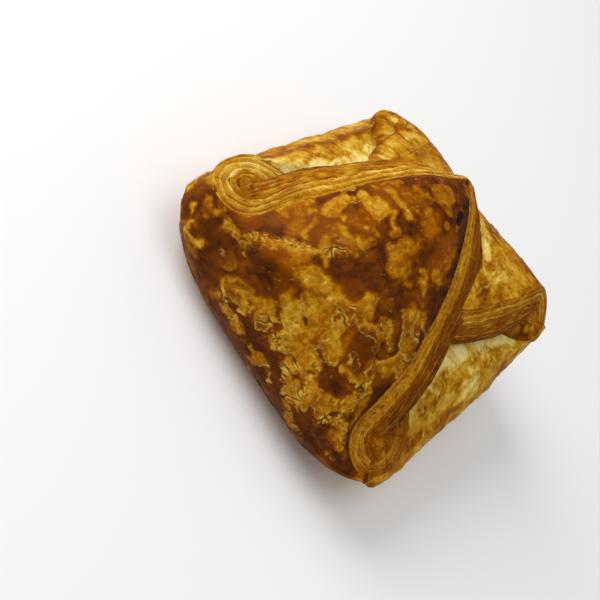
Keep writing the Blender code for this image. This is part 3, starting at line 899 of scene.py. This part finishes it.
def build_flap(name, place, material):
    """One flap's skin, with its relief and its browning."""
    rows_low, rows_high, columns = GRIDS[name]
    flap = FLAPS[name]
    ideal, left, right = flap_grid(flap, rows_low, rows_high, columns)
    grid = uneven(ideal)
    marks = surface_marks(ideal, rows_low, FLAP_MARKS[name])
    values = crust_fields(ideal, name, marks)
    rim_row = rows_low + (left.rim_share + right.rim_share) / 2 * rows_high
    near_edge = edge_distance(ideal, rows_low, rim_row)
    dark_left, dark_right = EDGE_TOASTS[name]
    nearer_left = np.arange(ideal.shape[1])[None, :] < ideal.shape[1] // 2
    values["toast"] += np.where(nearer_left, dark_left, dark_right) * np.exp(-near_edge / 1.8)
    relief = values.pop("relief") * ease(near_edge / 2.0)
    relief += 0.12 * np.exp(-(near_edge / 1.1) ** 2)
    normals = smooth_normals(grid)
    relief[-1] = relief[-1].mean()
    surface = grid + normals * relief[..., None]
    surface[-1] = surface[-1].mean(axis=0)
    heart = np.array([*(0.25 * np.array(flap.out)), 16.0])
    sheet_piece("crust_" + name, place(surface), normals, values, place(heart), material)


# ---------------------------------------------------------------- the cut edges
LIP = 3.0                  # height of the outer edge of a cut face
UNDERCUT = 1.5             # how far that edge leans back under the flap
ROOT_PULL = 0.8            # its foot's distance from the middle, as a share of the cut face's
ROOT_HEIGHT = 1.5
FACE_POINTS = 50
LIP_POINTS = 9
WALL_POINTS = 9
TIP_STATIONS = 14
CORE_START = 7.2           # width at which the layers round a pivot give way to its smooth core
STATIONS = {"front": 300, "left": 220, "right": 220, "back": 230}


def section_rings(here, outward, outer, free):
    """A ring of points through each station of a cut edge; free is 0 round a pivot and 1 beyond."""
    up = np.array([0.0, 0.0, 1.0])
    start = here - 0.05 * outward - 0.20 * up
    under = outer - UNDERCUT * outward - LIP * up
    root = np.stack([under[:, 0] * ROOT_PULL, under[:, 1] * ROOT_PULL, np.full(len(under), ROOT_HEIGHT)], axis=-1)
    t = np.linspace(0.0, 1.0, FACE_POINTS)[None, :, None]
    face = blend(start[:, None], outer[:, None], t) + 0.7 * np.sin(np.pi * t) * up
    t = np.linspace(0.0, 1.0, LIP_POINTS + 1)[None, 1:, None]
    lip = blend(outer[:, None], under[:, None], t) + 0.8 * np.sin(np.pi * t) * outward[:, None]
    t = np.linspace(0.0, 1.0, WALL_POINTS + 1)[None, 1:, None]
    wall = blend(under[:, None], root[:, None], t)
    tuck = (here - blend(-0.8, 1.6, free) * outward - 1.6 * up)[:, None]
    return np.concatenate([tuck, face, lip, wall], axis=1)


def tip_turn(side, other):
    """Stations that turn a cut edge half way round the flap's tip."""
    here, outward, outer = side.cut_face(np.array([1.0]))
    _, other_outward, other_outer = other.cut_face(np.array([1.0]))
    forward = unit(outward + other_outward)
    t = np.linspace(0.0, 1.0, TIP_STATIONS + 1)[1:, None]
    direction = unit(blend(outward, forward, t))
    reach = [np.linalg.norm((end - here)[:, :2]) for end in (outer, other_outer)]
    width = blend(reach[0], (reach[0] + reach[1]) / 2, t)
    fall = [float((here - end)[0, 2]) for end in (outer, other_outer)]
    drop = blend(fall[0], (fall[0] + fall[1]) / 2, t)
    tips = np.repeat(here, TIP_STATIONS, axis=0)
    ends = tips + direction * width
    ends[:, 2] = (tips[:, 2:] - drop)[:, 0]
    return tips, direction, ends


def edge_stations(name, is_left):
    """Stations of one flap's cut edge, from the corner to the tip and half way round it."""
    flap = FLAPS[name]
    side, other = Side(flap, is_left), Side(flap, not is_left)
    shares = np.linspace(side.rim_share, 1.0, STATIONS[name])
    free = ease((shares[:, None] - side.edge_share) / 0.08)
    straight = (*side.cut_face(shares), free)
    turned = (*tip_turn(side, other), np.ones((TIP_STATIONS, 1)))
    return [np.vstack(pair) for pair in zip(straight, turned)]


@dataclass
class Lamination:
    """How a flap's cut edge is baked."""
    near: float            # browning next to the skin
    far: float             # browning at the outer edge
    pitch: float           # thickness of a layer, mm
    pitted: float          # how much of the inner strip is open crumb
    closed: float          # 1 where the layers have closed up into a smooth fold


LAMINATIONS = {
    ("front", "left"): Lamination(0.31, 0.37, 1.15, 0.40, 0.0),
    ("front", "right"): Lamination(0.44, 0.64, 1.00, 0.95, 0.0),
    ("left", "right"): Lamination(0.22, 0.34, 1.20, 0.25, 0.10),
    ("left", "left"): Lamination(0.50, 0.24, 1.20, 0.10, 0.95),
    ("right", "left"): Lamination(0.50, 0.46, 1.05, 0.20, 0.45),
    ("right", "right"): Lamination(0.60, 0.34, 1.20, 0.10, 1.0),
    ("back", "left"): Lamination(0.35, 0.46, 0.95, 0.30, 0.0),
    ("back", "right"): Lamination(0.34, 0.24, 1.30, 0.20, 0.85),
}


def closed_fields(points, width, travel, near, far):
    """A cut edge that closed up: smooth dough, drawn into fine lines across it, browned at its rim."""
    level = np.zeros_like(width)
    drawn = layered(np.stack([travel / 2.2, width / 14.0, level], axis=-1), 1.0, 3, 381, 0.6)
    crease = layered(np.stack([travel / 5.0, width / 20.0, level], axis=-1), 1.0, 2, 387)
    clouds = layered(points, 5.0, 3, 383)
    torn = layered(points, 1.8, 3, 385, 0.6)
    deep = ease((width - CORE_START) / 2.5)
    # Painted shade: a thin near-black line along each crease.
    crack = ridge(crease, 0.08, 0.035) * ease(width / 3.0)
    toast = blend(near, far, ease((width - 1.5) / 3.5 + 0.8 * clouds)) + 0.26 * clouds + 0.16 * drawn
    # Its last term is painted shade, a broader darkening along each crease.
    toast = blend(toast, 0.48 + 0.3 * drawn, 0.8 * deep) + 0.14 * ridge(crease, 0.08, 0.12)
    strand = ridge(drawn, 0.12, 0.05) * ease(clouds * 3.0 + 0.3)
    return {
        "relief": 0.6 * drawn + 0.6 * clouds + 0.06 * torn - 0.7 * crack,
        "toast": toast + 0.08 * torn,
        "rim": 0.5 * strand,
        "crack": 0.6 * crack,
        "amber": ease(clouds * 2.0) * 0.6,
    }


def layer_fields(points, width, travel, near, far, pitch, pitted, closed):
    """Relief in mm and looks of cut layers, from the width across them and the travel along them."""
    level = np.zeros_like(width)
    wavy = np.stack([travel / 13.0, width / 5.0, level], axis=-1)
    phase = width / pitch + 0.95 * layered(wavy, 1.0, 3, 301) + 0.30 * layered(points, 2.4, 3, 311, 0.6)
    number = np.floor(phase)
    local = phase - number
    own = chance(np.stack([number, level, level], axis=-1), 321)
    lifted = layered(np.stack([travel / 8.0, number * 5.7 + 0.5, level], axis=-1), 1.0, 3, 331)
    opened = ease(layered(np.stack([travel / 3.2, number * 3.1 + 0.5, level], axis=-1), 1.0, 3, 341) * 3.0 - 0.35)
    groove = ridge(np.minimum(local, 1.0 - local), 0.0, 0.12)
    fine = noise(np.stack([travel / 4.0, phase * 3.3, level], axis=-1), 345)
    torn = layered(points, 1.6, 3, 347, 0.65)

    inner = (1.0 - ease((width - 3.2) / 2.5)) * pitted
    drawn = np.stack([travel / 1.7, width / 0.85, level], axis=-1)
    gap, _, pit_own = cells(warped(drawn, 1.5, 0.35, 351), 361)
    pit = ease((0.34 - gap) / 0.16) * (pit_own > 0.74) * inner
    inside = ease((width - 0.5) / 0.8)
    # Painted shade in the grooves between layers, deepest where layers have opened apart and weaker in the crumb
    # strip.
    gap_shade = np.clip(groove * (0.18 + 0.82 * opened), 0.0, 1.0) * (1.0 - 0.7 * inner) * inside
    toast = blend(near, far, ease((width - 2.0) / 7.0)) + 0.22 * lifted + 0.26 * (own - 0.5) * inside
    toast = toast + 0.20 * layered(points, 7.0, 3, 371) + 0.16 * fine + 0.10 * torn
    toast = blend(toast, 0.40 + 0.20 * torn + 0.16 * (pit_own - 0.5), inner * 0.75)
    relief = 0.16 * np.sin(np.pi * local) + 0.42 * lifted - (0.15 + 0.80 * opened) * groove + 0.08 * fine
    relief = blend(relief, 0.5 * (0.55 - gap) + 0.25 * torn, inner * 0.75) - 0.7 * pit
    fleck = ease(torn * 3.0 - 0.45)
    pale = 0.25 * ease((local - 0.3) / 0.3) * ease(lifted * 3.0) + 0.45 * fleck * (0.4 + 0.6 * inner)
    cut = {
        "relief": relief + 0.07 * torn,
        "toast": toast,
        "rim": np.clip(pale, 0.0, 1.0),
        # Grooves and the crumb's holes, painted near black as shade.
        "crack": np.clip(np.maximum(0.85 * gap_shade, pit), 0.0, 1.0),
        "amber": np.clip(0.35 + 0.5 * lifted, 0.0, 1.0),
    }
    smooth = closed_fields(points, width, travel, near, far)
    return {key: blend(cut[key], smooth[key], closed) for key in cut}


def build_layers(corner_name, place, material):
    """The cut layers that run from one flap's tip round a corner to the next flap's tip."""
    incoming = next(name for name, flap in FLAPS.items() if flap.right == corner_name)
    outgoing = next(name for name, flap in FLAPS.items() if flap.left == corner_name)
    first, second = edge_stations(incoming, False), edge_stations(outgoing, True)
    rings = section_rings(*(np.vstack([a[::-1], b[1:]]) for a, b in zip(first, second)))
    grid = uneven(rings)
    count = rings.shape[1]
    steps = np.linalg.norm(np.diff(rings[:, 1:], axis=1), axis=-1)
    width = np.concatenate([np.zeros((len(rings), 2)), np.cumsum(steps, axis=1)], axis=1)
    travel = distances(rings[:, FACE_POINTS // 2])[:, None] * np.ones((1, count))
    travel = travel - travel[len(first[0]) - 1]
    share = ease(travel / 12.0 + 0.5)
    pair = [LAMINATIONS[incoming, "right"], LAMINATIONS[outgoing, "left"]]
    near, far, pitch, pitted, closed = (blend(getattr(pair[0], key), getattr(pair[1], key), share)
                                        for key in ("near", "far", "pitch", "pitted", "closed"))
    values = layer_fields(rings, width, travel, near, far, pitch, pitted, closed)
    # Painted shade: the lip that leans back under the cut face's outer edge, and the wall below it, get 0.30 more
    # browning as shade under the overhang; the outer strip's smaller extra browning is its own.
    under = ease((np.arange(count)[None, :] - FACE_POINTS) / LIP_POINTS + 0.3)
    outermost = ease((np.arange(count)[None, :] - FACE_POINTS) / 9.0 + 1.0)
    values["toast"] = values["toast"] + 0.30 * under + 0.16 * outermost * (1.0 - closed)
    core = ease((width - CORE_START) / 1.5) * ease((16.0 - np.abs(travel)) / 4.0) * (1.0 - under) * (1.0 - closed)
    values["toast"] = blend(values["toast"], 0.50, core)
    for key in ("relief", "crack", "rim"):
        values[key] = values[key] * (1.0 - 0.9 * core) * (1.0 - 0.9 * under)
    fade = ease(width / 0.5)
    fade[:, -1] = 0.0
    normals = -grid_normals(grid)
    relief = values.pop("relief") * fade
    relief[:, 0] = 0.0
    surface = grid + normals * relief[..., None]
    strip_piece("layers_" + corner_name, place(surface), values, material)


CORE_RADIUS = 3.3
CORE_RISE = 1.2            # how far its top stands above its widest line
CORE_LEVEL = 0.85          # height of that line, as a share of the way from the rim to the heart
CORE_RINGS = 50
CORE_AROUND = 110


def build_core(corner_name, place, material):
    """The rolled end of the dough that fills the slit at a corner's pivot."""
    corner = CORNERS[corner_name]
    turns = np.linspace(0.0, 2.0 * math.pi, CORE_AROUND, endpoint=False)
    rings = []
    for t in np.linspace(0.03, math.pi - 0.03, CORE_RINGS):
        radius = CORE_RADIUS * math.sin(t) * (1.0 + 0.10 * np.sin(2.0 * turns + 0.6))
        height = blend(corner.low, corner.heart, CORE_LEVEL) + CORE_RISE * math.cos(t)
        rings.append(round_pivot(corner, np.degrees(turns), radius, height))
    points = uneven(np.stack(rings))
    torn = layered(points, 1.6, 3, 461, 0.65)
    clouds = layered(points, 4.0, 3, 463)
    gap, _, own = cells(warped(points, 2.0, 0.6, 465) / 1.1, 467)
    pit = ease((0.30 - gap) / 0.14) * (own > 0.7)
    points[..., 2] += 0.25 * clouds + 0.12 * torn - 0.3 * pit
    values = {
        "toast": 0.48 + 0.16 * clouds + 0.14 * torn,
        "rim": 0.5 * ease(torn * 3.0 - 0.3),
        # Pits painted near black as shade.
        "crack": 0.8 * pit,
        "amber": 0.5 * ease(clouds * 2.0 + 0.5),
    }
    disc_piece("core_" + corner_name, place(points), values, material)


# ---------------------------------------------------------------- the base
BASE_ROW_HEIGHT = 1.9      # height above the flaps' own zero at which the base's outline is taken
BASE_RINGS = 40


def base_outline():
    """The pastry's outline just above the ground, once round."""
    line = []
    for name in ("front", "right", "back", "left"):
        rows_low = 24
        grid, _, _ = flap_grid(FLAPS[name], rows_low, 30, 140)
        heights = grid[:rows_low, 70, 2]
        row = int(np.searchsorted(heights, BASE_ROW_HEIGHT))
        line.append(grid[row, :-1])
    return np.vstack(line)


def build_base(place, material):
    """The browned underside: a thin disc that closes the pastry below its flaps."""
    outline = uneven(base_outline())
    outline[:, 2] = TRIM
    middle = outline.mean(axis=0)
    frayed = 1.0 + 0.006 * layered(outline, 6.0, 3, 401)[:, None]
    rings = []
    profile = [(0.90, 1.3), (0.985, 1.1), (1.0, 0.8), (1.003, 0.5), (1.0, 0.2), (0.985, 0.0)]
    shares = profile + [(0.985 * (1.0 - k / BASE_RINGS), 0.0) for k in range(1, BASE_RINGS)]
    for share, height in shares:
        ring = middle + (outline - middle) * share * frayed
        ring[:, 2] = TRIM + height
        rings.append(ring)
    rings = np.stack(rings)
    values = base_fields(rings)
    relief = values.pop("relief")
    relief[:6] = 0.0
    rings[..., 2] += np.maximum(relief, 0.0)
    disc_piece("base", place(rings), values, material)


def base_fields(points):
    tone = layered(points, 14.0, 4, 411)
    gap, _, own = cells(warped(points, 5.0, 1.6, 421) / 4.5, 431)
    hollow = ease(layered(points, 9.0, 3, 441) * 3.0 - 0.2)
    return {
        "relief": 0.7 * hollow,
        "toast": 0.58 + 0.22 * tone - 0.20 * hollow + 0.08 * (own - 0.5),
        "rim": 0.25 * ease(layered(points, 1.2, 2, 451) * 3.0),
        "crack": 0.3 * ease((0.12 - gap) / 0.1),
        "amber": np.clip(0.4 + tone, 0.0, 1.0),
    }


def disc_piece(name, rings, values, material):
    """A closed disc from rings, the first on top and the last near the middle of the underside."""
    count, around = rings.shape[:2]
    places = np.vstack([rings.reshape(-1, 3), [rings[0].mean(axis=0)], [rings[-1].mean(axis=0)]])
    top, bottom = count * around, count * around + 1
    faces, uvs = [], []
    for j in range(around):
        after = (j + 1) % around
        left, middle, right = j / around, (j + 0.5) / around, (j + 1) / around
        for i in range(count - 1):
            faces.append([i * around + j, (i + 1) * around + j, (i + 1) * around + after, i * around + after])
            high, low = (i + 1) / (count + 1), (i + 2) / (count + 1)
            uvs.extend([(left, high), (left, low), (right, low), (right, high)])
        faces.append([top, j, after])
        uvs.extend([(middle, 0.0), (left, 1 / (count + 1)), (right, 1 / (count + 1))])
        faces.append([bottom, (count - 1) * around + after, (count - 1) * around + j])
        uvs.extend([(middle, 1.0), (right, count / (count + 1)), (left, count / (count + 1))])
    flat = {key: np.append(value.ravel(), [0.5, 0.5]) for key, value in values.items()}
    return make_piece(name, places, faces, uvs, flat, material)


# ---------------------------------------------------------------- materials
def linear(*colour):
    """Linear light of a display colour given from 0 to 255."""
    shares = np.array(colour) / 255.0
    light = np.where(shares <= 0.04045, shares / 12.92, ((shares + 0.055) / 1.055) ** 2.4)
    return (*light.tolist(), 1.0)


TOAST_COLOURS = (
    (0.00, (240, 220, 142)),
    (0.12, (222, 188, 90)),
    (0.28, (194, 144, 28)),
    (0.44, (162, 99, 0)),
    (0.60, (126, 66, 0)),
    (0.78, (103, 48, 0)),
    (0.90, (74, 34, 5)),
    (1.00, (26, 13, 8)),
)
AMBER = linear(158, 80, 0)
CRUMB_LIGHT = linear(240, 208, 100)
CRUMB_DARK = linear(198, 146, 36)
# Near black: painted shade in cracks, pits, creases and the gaps between layers, and the underside's own specks.
CRACK_SHADE_AND_SPECK = linear(38, 17, 4)


class Nodes:
    """A material's node tree, built from left to right."""

    def __init__(self, name):
        self.material = bpy.data.materials.new(name)
        self.material.use_nodes = True
        self.tree = self.material.node_tree
        self.shader = self.tree.nodes["Principled BSDF"]

    def add(self, kind, **settings):
        node = self.tree.nodes.new(kind)
        for key, value in settings.items():
            setattr(node, key, value)
        return node

    def join(self, output, target):
        self.tree.links.new(output, target)

    def attribute(self, name):
        return self.add("ShaderNodeAttribute", attribute_name=name).outputs["Fac"]

    def noise(self, millimetres, detail=3.0, roughness=0.55):
        place = self.add("ShaderNodeTexCoord").outputs["Object"]
        node = self.add("ShaderNodeTexNoise")
        node.inputs["Scale"].default_value = 1.0 / (millimetres * MM)
        node.inputs["Detail"].default_value = detail
        node.inputs["Roughness"].default_value = roughness
        self.join(place, node.inputs["Vector"])
        return node.outputs["Fac"]

    def math(self, operation, first, second, clamp=False):
        node = self.add("ShaderNodeMath", operation=operation, use_clamp=clamp)
        for socket, value in zip(node.inputs, (first, second)):
            if isinstance(value, (int, float)):
                socket.default_value = value
            else:
                self.join(value, socket)
        return node.outputs["Value"]

    def spread(self, value, low, high, to_low, to_high):
        node = self.add("ShaderNodeMapRange", clamp=True)
        for socket, number in zip(list(node.inputs)[1:5], (low, high, to_low, to_high)):
            socket.default_value = number
        self.join(value, node.inputs["Value"])
        return node.outputs["Result"]

    def ramp(self, value, stops):
        node = self.add("ShaderNodeValToRGB")
        elements = node.color_ramp.elements
        while len(elements) < len(stops):
            elements.new(0.5)
        for element, (position, colour) in zip(elements, stops):
            element.position = position
            element.color = linear(*colour)
        self.join(value, node.inputs["Fac"])
        return node.outputs["Color"]

    def mix(self, share, first, second, blend_type="MIX"):
        node = self.add("ShaderNodeMix", data_type="RGBA", blend_type=blend_type)
        for socket, value in ((node.inputs[0], share), (node.inputs[6], first), (node.inputs[7], second)):
            if isinstance(value, (int, float, tuple)):
                socket.default_value = value
            else:
                self.join(value, socket)
        return node.outputs[2]

    def bump(self, height, strength, millimetres):
        node = self.add("ShaderNodeBump")
        node.inputs["Strength"].default_value = strength
        node.inputs["Distance"].default_value = millimetres * MM
        self.join(height, node.inputs["Height"])
        self.join(node.outputs["Normal"], self.shader.inputs["Normal"])


def dough_material(name, grain, glaze, bump):
    """Baked dough: browning, crumbly rims and the painted shade of cracks and pits come from the mesh, and grain
    from nodes.
    """
    nodes = Nodes(name)
    fine = nodes.noise(0.45, 4.0, 0.65)
    middle = nodes.noise(2.4, 3.0)
    toast = nodes.attribute("toast")
    grainy = nodes.math("MULTIPLY_ADD", fine, grain)
    grainy.node.inputs[2].default_value = -0.5 * grain
    mottled = nodes.math("MULTIPLY_ADD", middle, 0.16)
    mottled.node.inputs[2].default_value = -0.08
    toast = nodes.math("ADD", nodes.math("ADD", toast, grainy), mottled, clamp=True)
    colour = nodes.ramp(toast, TOAST_COLOURS)
    amber = nodes.math("MULTIPLY", nodes.attribute("amber"), 0.45, clamp=True)
    colour = nodes.mix(nodes.math("MULTIPLY", amber, nodes.spread(toast, 0.1, 0.4, 0.0, 1.0)), colour, AMBER)
    crumb = nodes.mix(nodes.spread(fine, 0.35, 0.65, 0.0, 1.0), CRUMB_DARK, CRUMB_LIGHT)
    rim = nodes.math("MULTIPLY", nodes.attribute("rim"), nodes.spread(middle, 0.3, 0.6, 0.45, 1.0), clamp=True)
    colour = nodes.mix(rim, colour, crumb)
    # Painted shade: the mesh's crack values mix the colour toward near black.
    colour = nodes.mix(nodes.math("MULTIPLY", nodes.attribute("crack"), 0.9, clamp=True), colour, CRACK_SHADE_AND_SPECK)
    nodes.join(colour, nodes.shader.inputs["Base Color"])
    rough = nodes.math("MULTIPLY_ADD", rim, 0.2)
    rough.node.inputs[2].default_value = 0.0
    base_rough = nodes.spread(toast, 0.1, 0.8, 0.60, glaze)
    rough = nodes.math("ADD", nodes.math("ADD", base_rough, rough), nodes.spread(fine, 0.3, 0.7, -0.06, 0.06))
    nodes.join(rough, nodes.shader.inputs["Roughness"])
    nodes.shader.inputs["Specular IOR Level"].default_value = 0.04
    nodes.shader.inputs["Subsurface Weight"].default_value = 0.06
    nodes.shader.inputs["Subsurface Radius"].default_value = (1.0, 0.55, 0.25)
    nodes.shader.inputs["Subsurface Scale"].default_value = 1.2 * MM
    height = nodes.math("ADD", fine, nodes.math("MULTIPLY", nodes.noise(0.9, 2.0), 0.8))
    nodes.bump(height, bump, 0.25)
    return nodes.material


# ---------------------------------------------------------------- camera, light and floor
VIEW_UP = 45.0             # degrees that the camera looks down
VIEW_ROLL = 60.0           # degrees that it is turned about its own axis
VIEW_DISTANCE = 330.0
VIEW_TARGET = (-5.9, -37.7, 28.0)
LENS = 67.09
SENSOR = 36.0


def view_axes():
    """The camera's right, up and back directions."""
    rise = math.radians(VIEW_UP)
    roll = math.radians(VIEW_ROLL)
    back = np.array([0.0, -math.cos(rise), math.sin(rise)])
    level = np.array([1.0, 0.0, 0.0])
    upright = np.cross(back, level)
    right = math.cos(roll) * level + math.sin(roll) * upright
    return right, math.cos(roll) * upright - math.sin(roll) * level, back


def place_camera(place):
    right, up, back = view_axes()
    position = place(np.array(VIEW_TARGET)) * MM + back * VIEW_DISTANCE * MM
    camera = bpy.data.objects.new("camera", bpy.data.cameras.new("camera"))
    camera.data.lens = LENS
    camera.data.sensor_width = SENSOR
    camera.data.clip_start = 0.01
    columns = np.eye(4)
    columns[:3, :4] = np.stack([right, up, back, position], axis=-1)
    camera.matrix_world = Matrix(columns.tolist())
    bpy.context.scene.collection.objects.link(camera)
    bpy.context.scene.camera = camera


def add_area_light(name, position, target, size, power):
    lamp = bpy.data.lights.new(name, "AREA")
    lamp.shape = "DISK"
    lamp.size = size
    lamp.energy = power
    light = bpy.data.objects.new(name, lamp)
    light.location = position
    light.rotation_euler = (Vector(position) - Vector(target)).to_track_quat("Z", "Y").to_euler()
    bpy.context.scene.collection.objects.link(light)


def build_stage():
    """A pale floor under a soft, even light from above and behind."""
    floor_mesh = bpy.data.meshes.new("floor")
    reach = 3.0
    floor_mesh.from_pydata([(-reach, -reach, 0.0), (reach, -reach, 0.0), (reach, reach, 0.0), (-reach, reach, 0.0)],
                           [], [(0, 1, 2, 3)])
    nodes = Nodes("floor")
    nodes.shader.inputs["Base Color"].default_value = (0.92, 0.92, 0.92, 1.0)
    nodes.shader.inputs["Roughness"].default_value = 0.9
    nodes.shader.inputs["Specular IOR Level"].default_value = 0.1
    floor_mesh.materials.append(nodes.material)
    floor = bpy.data.objects.new("floor", floor_mesh)
    floor.location.z = FLOOR_DROP
    bpy.context.scene.collection.objects.link(floor)
    world = bpy.data.worlds.new("studio")
    world.use_nodes = True
    world.node_tree.nodes["Background"].inputs["Color"].default_value = (1.0, 1.0, 1.0, 1.0)
    world.node_tree.nodes["Background"].inputs["Strength"].default_value = SKY_STRENGTH
    bpy.context.scene.world = world
    add_area_light("window", (-0.80, -0.10, 0.55), (0.0, 0.0, 0.02), 0.7, WINDOW_POWER)
    add_area_light("ceiling", (0.0, -0.20, 1.0), (0.0, 0.0, 0.02), 0.8, CEILING_POWER)
    bpy.context.scene.view_settings.view_transform = "Standard"


FLOOR_DROP = -0.0002
SKY_STRENGTH = 0.42
WINDOW_POWER = 7.0
CEILING_POWER = 2.6


# ---------------------------------------------------------------- the scene
def frame_shift():
    """What moves the tables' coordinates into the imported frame."""
    skins = [flap_grid(flap, 8, 64, 49)[0].reshape(-1, 3) for flap in FLAPS.values()]
    places = np.vstack(skins)
    low, high = (np.array(end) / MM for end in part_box("pastry"))
    shift = (low + high) / 2 - (places.min(axis=0) + places.max(axis=0)) / 2
    shift[2] = -TRIM
    return shift


def build_pastry():
    shift = frame_shift()

    def place(points):
        moved = np.asarray(points) + shift
        moved[..., 2] = np.maximum(moved[..., 2], GROUND_GAP)
        return moved

    def place_base(points):
        moved = np.asarray(points) + shift
        moved[..., 2] = np.maximum(moved[..., 2], 0.0)
        return moved

    crust = dough_material("crust", 0.26, 0.40, 0.55)
    layers = dough_material("layers", 0.30, 0.50, 0.60)
    underside = dough_material("underside", 0.25, 0.55, 0.50)
    for name in FLAPS:
        build_flap(name, place, crust)
    for name in CORNERS:
        build_layers(name, place, layers)
        build_core(name, place, layers)
    build_base(place_base, underside)
    return place


GROUND_GAP = 0.3           # how far the flaps stay above the ground on their base

place_in_frame = build_pastry()
place_camera(place_in_frame)
build_stage()
